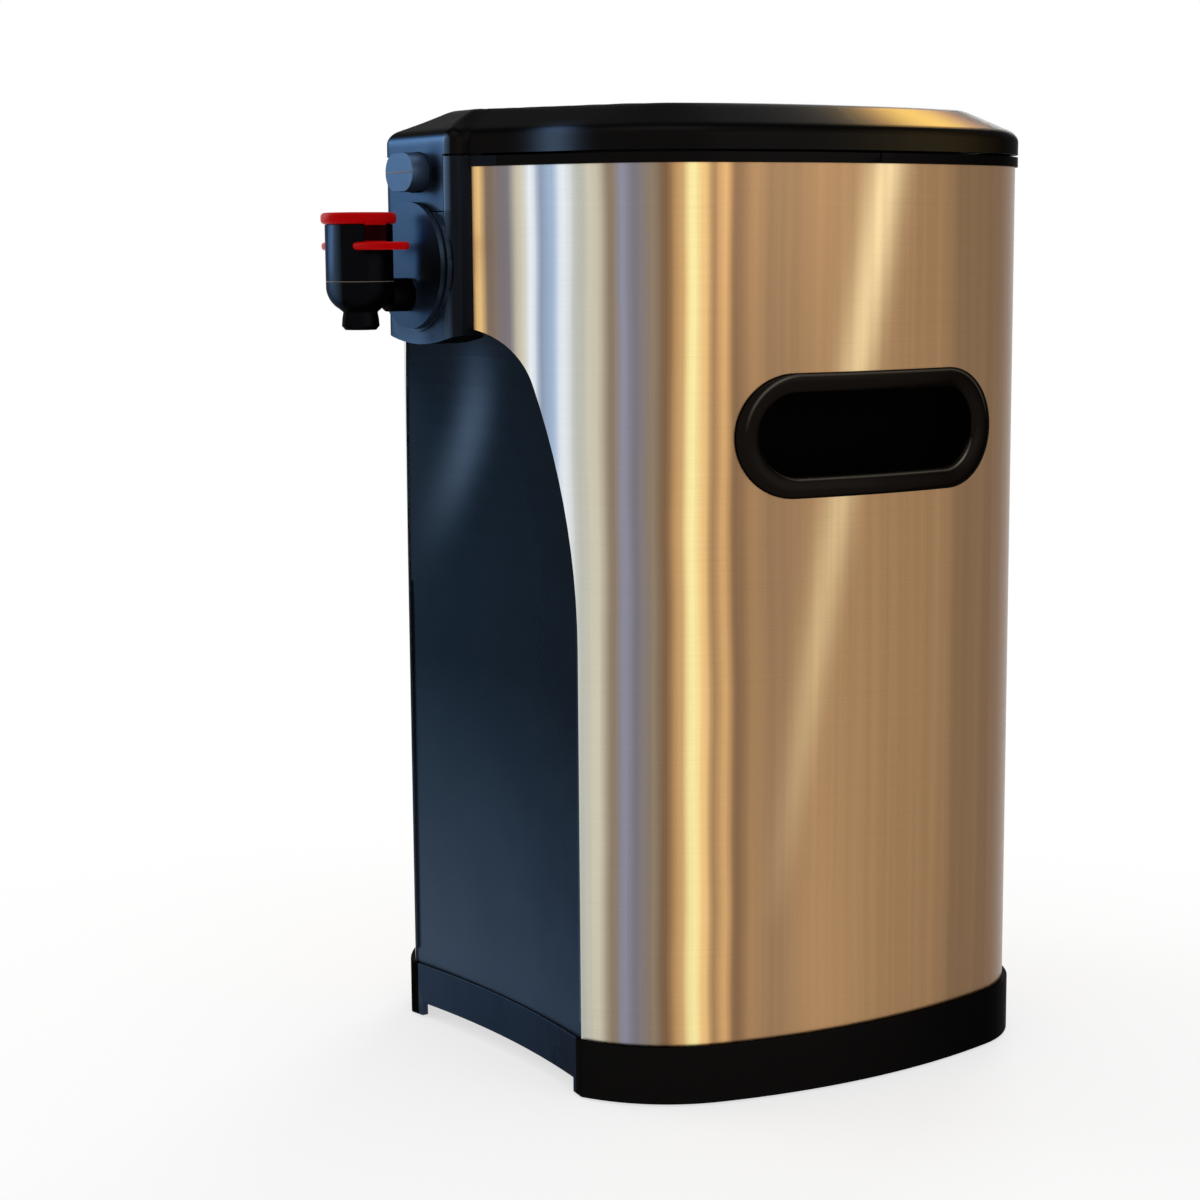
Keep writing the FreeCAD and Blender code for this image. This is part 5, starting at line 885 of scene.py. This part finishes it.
def body_plan(step):
    """Right half of the body's plan, from the middle of the front to the middle of the back.

    Arcs run on into each other: the nose, a straight run, the front corner, the long side, the back corner
    and the back. Each centre lies where two circles, grown or shrunk by the next radius, cross."""
    side, back = SIDE_CENTRE, BACK_CENTRE
    lean = np.array([math.sin(NOSE_TURN), -math.cos(NOSE_TURN)])
    along = np.array([math.cos(NOSE_TURN), math.sin(NOSE_TURN)])
    line = NOSE_RADIUS - NOSE_CENTRE[1] * math.cos(NOSE_TURN)
    start = lean * (line - CORNER_RADIUS)
    half = (start - side) @ along
    reach = (SIDE_RADIUS - CORNER_RADIUS) ** 2 - (start - side) @ (start - side)
    corner = start + along * (math.sqrt(half * half + reach) - half)
    far, near, apart = BACK_RADIUS - TURN_RADIUS, SIDE_RADIUS - TURN_RADIUS, np.linalg.norm(back - side)
    reach = (far**2 - near**2 + apart**2) / (2.0 * apart)
    rise, unit = math.sqrt(far**2 - reach**2), (side - back) / apart
    turn = back + reach * unit + rise * np.array([unit[1], -unit[0]])
    at = [bearing(side, corner), bearing(side, turn), bearing(back, turn)]
    first, last = NOSE_CENTRE + NOSE_RADIUS * lean, corner + CORNER_RADIUS * lean
    count = int(np.linalg.norm(last - first) / step)
    share = np.linspace(0.0, 1.0, count, endpoint=False)[:, None]
    quarter = math.pi / 2
    runs = [
        arc_run(NOSE_CENTRE, NOSE_RADIUS, -quarter, NOSE_TURN - quarter, step),
        (first + share * (last - first), np.repeat(lean[None], count, 0)),
        arc_run(corner, CORNER_RADIUS, NOSE_TURN - quarter, at[0], step),
        arc_run(side, SIDE_RADIUS, at[0], at[1], step),
        arc_run(turn, TURN_RADIUS, at[1], at[2], step),
        arc_run(back, BACK_RADIUS, at[2], quarter, step),
        (back[None] + (0.0, BACK_RADIUS), np.array([[0.0, 1.0]])),
    ]
    return np.concatenate([run[0] for run in runs]), np.concatenate([run[1] for run in runs])


def mirrored(half):
    """A half line that starts and ends on the middle plane, made a closed loop with its mirror image."""
    return np.concatenate([half, (half * (-1.0, 1.0))[-2:0:-1]])


# Lid


# The lid in millimetres of the drawing: its plan, its tongue, and its slope with a round edge below.
LID_OVERHANG = 1.0
TONGUE_HALF, TONGUE_FACE, TONGUE_CORNER = 24.0, -28.3, 4.5
TONGUE_FLAT = 19.1
LID_FOOT, LID_EDGE, LID_TOP = 341.5, 349.0, 358.35
LID_RISE, LID_SLOPE = 9.4, 21.0
EDGE_REACH, EDGE_DROP = 3.4, 2.7
SOFT_TOP = 0.35
LID_WALL = 2.2
BUTTON_LEVEL = 335.5


def lid_outline():
    """Plan of the lid with the bump over the column, as a closed loop."""
    points, out = body_plan(1.6)
    rim = points + out * LID_OVERHANG
    centre = (TONGUE_HALF - TONGUE_CORNER, TONGUE_FACE + TONGUE_CORNER)
    bump, _ = arc_run(centre, TONGUE_CORNER, -math.pi / 2, 0.0, 0.7)
    meet = NOSE_CENTRE[1] - math.sqrt((NOSE_RADIUS + LID_OVERHANG) ** 2 - TONGUE_HALF**2)
    front = np.stack([np.linspace(0.0, TONGUE_FLAT, 13), np.full(13, TONGUE_FACE)], 1)
    flank = np.array([[TONGUE_HALF, y] for y in (centre[1], 0.5 * (meet + centre[1]), meet)])
    side = rim[rim[:, 0] > TONGUE_HALF + 0.6]
    half = np.concatenate([front, bump, flank, side[: np.argmax(side[:, 1]) + 1]])
    rest = rim[(rim[:, 1] > half[-1, 1]) | ((rim[:, 1] > 150.0) & (rim[:, 0] <= TONGUE_HALF + 0.6))]
    half = np.concatenate([half, rest])
    keep = np.concatenate([[True], np.linalg.norm(np.diff(half, axis=0), axis=1) > 0.02])
    return mirrored(half[keep])


def distance_inside(spots, loop):
    """Distance of each spot from the closed loop: the least distance to any of its straight pieces."""
    start, run = loop, np.roll(loop, -1, 0) - loop
    span = (run**2).sum(1)
    best = np.full(len(spots), 1e9)
    for first in range(0, len(spots), 4000):
        part = spots[first : first + 4000]
        away = part[:, None] - start[None]
        share = np.clip((away * run[None]).sum(2) / span[None], 0.0, 1.0)
        best[first : first + 4000] = np.linalg.norm(away - share[..., None] * run[None], axis=2).min(1)
    return best


def lid_height(inside):
    """Height over a spot this far inside the outline.

    A straight slope runs up from a quarter circle at the edge. Near the flat top the height is the top less
    the log of 1 plus e to what is still missing, which rounds the bend."""
    slope = LID_EDGE + LID_RISE * inside / LID_SLOPE
    edge = np.clip(1.0 - inside / EDGE_REACH, 0.0, 1.0)
    slope = slope - EDGE_DROP * (1.0 - np.sqrt(1.0 - edge**2))
    return LID_TOP - SOFT_TOP * np.logaddexp(0.0, (LID_TOP - slope) / SOFT_TOP)


def lid_surface():
    """The lid as a grid up the rim's wall, over the shoulder and in to the middle line, and the tongue."""
    loop = lid_outline()
    goal = np.stack([np.zeros(len(loop)), np.clip(loop[:, 1], 14.0, 150.0)], 1)
    way = goal - loop
    reach = np.linalg.norm(way, axis=1)
    edge_steps = [0.1, 0.35, 0.75, 1.3, 2.0, 2.9, 4.0]
    slope_steps = [6.0, 9.0, 12.0, 15.0, 17.5, 19.5, 21.0, 22.5, 25.0, 30.0]
    steps = np.array(edge_steps + slope_steps)
    inner = np.linspace(0.0, 1.0, 9)[1:]
    share = np.minimum(steps[:, None] / reach[None], 0.9)
    share = np.concatenate([share, share[-1:] + (1.0 - share[-1:]) * inner[:, None]])
    spots = loop[None] + share[..., None] * way[None]
    inside = distance_inside(spots.reshape(-1, 2), loop).reshape(share.shape)
    roof = np.dstack([spots, lid_height(inside)[..., None]])
    foot = lid_height(np.zeros(1))[0]
    levels = np.array([LID_FOOT, 342.2, 343.5, 345.0, foot])
    wall = np.stack([np.dstack([loop[None], np.full((1, len(loop), 1), z)])[0] for z in levels])
    shell = np.concatenate([wall, roof])
    front = np.abs(loop[:, 0]) <= TONGUE_FLAT + 0.01
    tongue_line = loop[front & (loop[:, 1] < TONGUE_FACE + 0.1)]
    tongue_line = tongue_line[np.argsort(tongue_line[:, 0])]
    drops = np.array([321.5, 323.0, 327.0, 332.0, 337.0, LID_FOOT])
    tongue = np.stack([np.c_[tongue_line, np.full(len(tongue_line), z)] for z in drops])
    return [(shell, True), (tongue, False)]


def stadium(half_straight, radius, step=0.6):
    """A rounded slot's outline about the origin: two half circles joined by straight runs, once round."""
    count = max(8, int(math.pi * radius / step))
    right = np.linspace(-math.pi / 2, math.pi / 2, count)
    left = right + math.pi
    runs = [
        np.stack([half_straight + radius * np.cos(right), radius * np.sin(right)], 1),
        np.stack([-half_straight + radius * np.cos(left), radius * np.sin(left)], 1),
    ]
    flat = np.linspace(half_straight, -half_straight, max(3, int(2 * half_straight / step)))[1:-1]
    top = np.stack([flat, np.full(len(flat), radius)], 1)
    return np.concatenate([runs[0], top, runs[1], top[::-1] * (1.0, -1.0)])


def slot_block(name, half_straight, radius, y_span, height):
    """A closed stadium block along Y, used to open the lid's tongue for the button."""
    loop = stadium(half_straight, radius)
    rows = []
    for y, grown in ((y_span[0], 0.0), (y_span[0], 1.0), (y_span[1], 1.0), (y_span[1], 0.0)):
        rows.append(np.stack([loop[:, 0] * grown, np.full(len(loop), y), height + loop[:, 1] * grown], 1))
    block = grid_piece(name, [(np.stack(rows), True)])
    weld(block.data, outward=True)
    return block


class DISPENSER_OT_lid(bpy.types.Operator):
    """Lid with its round shoulder, hipped bump and tongue"""

    bl_idname = "dispenser.lid"
    bl_label = "Lid"

    def execute(self, context):
        lid = grid_piece("lid_cover", lid_surface())
        weld(lid.data, outward=True)
        thicken(lid, LID_WALL)
        carve(lid, slot_block("lid_opening", 2.9, 7.2, (-33.0, -20.0), BUTTON_LEVEL))
        lid.data.set_sharp_from_angle(angle=SHARP)
        soften(lid, 0.35, math.radians(40.0))
        fit(lid, "lid", "lid_shell", FINISHES["lid"], "lid_shell")
        return {"FINISHED"}


# Handles


# A handle in millimetres of the drawing: its middle, its frame, its opening and the floor of its cup.
HANDLE_PLACE = (100.0, 241.6)
FRAME_SLOT = (34.5, 22.25)
OPENING_SLOT = (32.9, 14.8)
CUP_FLOOR = 87.6
FRAME_WALL, CUP_WALL = 1.2, 1.4


def on_side(y, z, lift):
    """A point of the right side: the long side's circle, grown by the lift, at this y and z."""
    turn = np.arcsin((y - SIDE_CENTRE[1]) / SIDE_RADIUS)
    reach = SIDE_RADIUS + lift
    return np.stack([SIDE_CENTRE[0] + reach * np.cos(turn), SIDE_CENTRE[1] + reach * np.sin(turn), z], -1)


def slot_rows(sections):
    """Points of slot sections (half straight, radius, depth rule) on the side, all with the same count."""
    turn = np.linspace(-math.pi / 2, math.pi / 2, 48)
    flat = np.linspace(1.0, -1.0, 40)[1:-1]
    rows = []
    for half_straight, radius, place in sections:
        right = np.stack([half_straight + radius * np.cos(turn), radius * np.sin(turn)], 1)
        top = np.stack([flat * half_straight, np.full(len(flat), radius)], 1)
        loop = np.concatenate([right, top, -right, -top])
        rows.append(place(HANDLE_PLACE[0] + loop[:, 0], HANDLE_PLACE[1] + loop[:, 1]))
    return np.stack(rows)


def lifted(lift):
    """Rule that lifts a section off the side."""
    return lambda y, z: on_side(y, z, np.full(len(y), lift))


def sunk(share):
    """Rule that takes a section a share of the way from the side in to the cup's flat floor."""

    def place(y, z):
        spot = on_side(y, z, np.full(len(y), -0.5))
        spot[:, 0] += (CUP_FLOOR - spot[:, 0]) * share
        return spot

    return place


class DISPENSER_OT_handles(bpy.types.Operator):
    """Handle frames and the finger cups behind them"""

    bl_idname = "dispenser.handles"
    bl_label = "Handles"

    def execute(self, context):
        crown = [
            (0.0, -0.4), (0.0, 0.7), (0.02, 1.2), (0.06, 1.65), (0.13, 2.0), (0.22, 2.2), (0.32, 2.28),
            (0.46, 2.25), (0.60, 2.1), (0.74, 1.8), (0.85, 1.4), (0.93, 0.9), (0.98, 0.2), (1.0, -0.6),
            (1.0, -1.8),
        ]
        hollow = [
            (32.9, 14.8, 0.0), (32.9, 14.75, 0.25), (32.85, 14.6, 0.5), (32.8, 14.3, 0.7), (32.6, 13.6, 0.85),
            (32.3, 12.5, 0.94), (31.8, 10.8, 0.985), (31.0, 8.5, 1.0), (31.0, 4.0, 1.0), (31.0, 0.0, 1.0),
        ]
        narrower, lower = FRAME_SLOT[0] - OPENING_SLOT[0], FRAME_SLOT[1] - OPENING_SLOT[1]
        frame_rows = slot_rows([
            (FRAME_SLOT[0] - narrower * inward, FRAME_SLOT[1] - lower * inward, lifted(lift))
            for inward, lift in crown
        ])
        cup_rows = slot_rows([(half, radius, sunk(share)) for half, radius, share in hollow])
        for side, sign in (("right", 1.0), ("left", -1.0)):
            for part, rows, wall, tone in (
                ("handle_bezel_", frame_rows, FRAME_WALL, "handle"),
                ("handle_cup_", cup_rows, CUP_WALL, "cup"),
            ):
                piece = grid_piece(part + side + "_moulded", [(rows * (sign, 1.0, 1.0), True)], flip=sign < 0)
                thicken(piece, wall)
                fit(piece, "housing", part + side, FINISHES[tone], part + side)
        return {"FINISHED"}


# Mouldings with rounded edges


def bar(name, start, end, radius, rounds=9):
    """A thin rod with round ends from start to end: circles whose radius closes at each end."""
    start, end = np.asarray(start, float), np.asarray(end, float)
    run = end - start
    ends = np.linalg.norm(run) / radius
    along = run / np.linalg.norm(run)
    side = np.cross(along, (0.3, 0.5, 0.81))
    side /= np.linalg.norm(side)
    over = np.cross(along, side)
    turn = np.linspace(0.0, 2.0 * math.pi, rounds, endpoint=False)
    ring = np.cos(turn)[:, None] * side + np.sin(turn)[:, None] * over
    places = [(0.0, 0.0), (0.25, 0.7), (1.0, 1.0), (ends - 1.0, 1.0), (ends - 0.25, 0.7), (ends, 0.0)]
    rows = [start + along * place * radius + ring * share * radius for place, share in places]
    rod = grid_piece(name, [(np.stack(rows), True)])
    weld(rod.data, outward=True)
    return rod


def ring(name, centre, radius, thick):
    """A thin level ring: a small circle carried round a large one."""
    around = np.linspace(0.0, 2.0 * math.pi, 72, endpoint=False)[None]
    across = np.linspace(0.0, 2.0 * math.pi, 8, endpoint=False)[:, None]
    reach = radius + thick * np.cos(across)
    height = thick * np.sin(across) + 0.0 * around
    points = np.stack([reach * np.cos(around), reach * np.sin(around), height], -1)
    loop = grid_piece(name, [(np.concatenate([points, points[:1]]) + np.asarray(centre, float), True)])
    weld(loop.data, outward=True)
    return loop


# The button's face and the middle of the barrel's seam, in millimetres of the drawing.
BUTTON_FACE = -35.3
BARREL_SEAM = (0.0, -52.1, 296.9)


class DISPENSER_OT_mouldings(bpy.types.Operator):
    """Base, collar, column, button and tap with rounded edges"""

    bl_idname = "dispenser.mouldings"
    bl_label = "Mouldings"

    def execute(self, context):
        black, blue = FINISHES["black"], FINISHES["column"]
        rounded_copy("base_skirt", "housing", FINISHES["base"], 0.6)
        rounded_copy("collar_ring", "housing", black, 0.35)
        rounded_copy("spout_column", "housing", blue, 0.7)
        rounded_copy("release_button", "release", blue, 0.5)
        ridge_ends = [(reach, BUTTON_FACE, BUTTON_LEVEL) for reach in (-9.2, 9.2)]
        ridge = bar("button_ridge", *ridge_ends, 0.22)
        fit(ridge, "release", "release_button", FINISHES["seam"])
        rounded_copy("tap_body", "housing", FINISHES["tap"], 0.4)
        seam = ring("barrel_seam", BARREL_SEAM, 12.08, 0.16)
        fit(seam, "housing", "tap_body", FINISHES["seam"])
        rounded_copy("tap_handle", "housing", FINISHES["red"], 0.35)
        rounded_copy("tap_button", "tap_plunger", FINISHES["red"], 0.5)
        return {"FINISHED"}


# Springs

# Each spring or strip: its body, its joint, that joint's travel, its axis and its fixed end.
UPRIGHT = (0.0, 0.0, 1.0)
SHORTENING = [
    ("latch_spring", "lid", "release_press", 0.003, (0.0, 1.0, 0.0), (0.0, -0.07835, 0.0)),
    ("tap_spring", "housing", "tap_press", 0.004, UPRIGHT, (0.0, 0.0, 0.2974)),
    ("spring_strip_left", "housing", "platform_lift", 0.245, UPRIGHT, (0.0, 0.0, 0.316)),
    ("spring_strip_right", "housing", "platform_lift", 0.245, UPRIGHT, (0.0, 0.0, 0.316)),
]


class DISPENSER_OT_springs(bpy.types.Operator):
    """Springs and strips as copies of their CAD meshes on their bodies"""

    bl_idname = "dispenser.springs"
    bl_label = "Springs"

    def execute(self, context):
        for node, body, joint, travel, axis, anchor in SHORTENING:
            piece = node_copy(node, "_wound")
            fit(piece, body, node, FINISHES["spring"], node)
            away = (Vector(axis).dot(point.co) - Vector(axis).dot(anchor) for point in piece.data.vertices)
            span = max(abs(distance) for distance in away)
            1.0 - travel / span
            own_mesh(piece)
            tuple(axis)
            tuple(anchor)
        return {"FINISHED"}


class DISPENSER_PT_panel(bpy.types.Panel):
    """Lists the steps that build the dispenser"""

    bl_label = "Wine Dispenser"
    bl_space_type = "VIEW_3D"
    bl_region_type = "UI"
    bl_category = "Dispenser"

    def draw(self, context):
        for step in STEPS:
            self.layout.operator(step.bl_idname)
        for group in (settings().studio, settings().finish):
            box = self.layout.box()
            for prop in group.bl_rna.properties:
                if not prop.is_readonly and prop.identifier != "name":
                    box.prop(group, prop.identifier)


STEPS = [
    DISPENSER_OT_stage, DISPENSER_OT_finishes, DISPENSER_OT_lid, DISPENSER_OT_handles, DISPENSER_OT_mouldings,
    DISPENSER_OT_springs,
]
CLASSES = [StudioSettings, FinishSettings, DispenserSettings, *STEPS, DISPENSER_PT_panel]


def register():
    for kind in CLASSES:
        bpy.utils.register_class(kind)
    bpy.types.Scene.dispenser = PointerProperty(type=DispenserSettings)


def unregister():
    del bpy.types.Scene.dispenser
    for kind in reversed(CLASSES):
        bpy.utils.unregister_class(kind)


def main():
    """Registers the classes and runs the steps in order."""
    register()
    for step in STEPS:
        group, name = step.bl_idname.split(".")
        getattr(getattr(bpy.ops, group), name)()


if __name__ == "__main__":
    main()
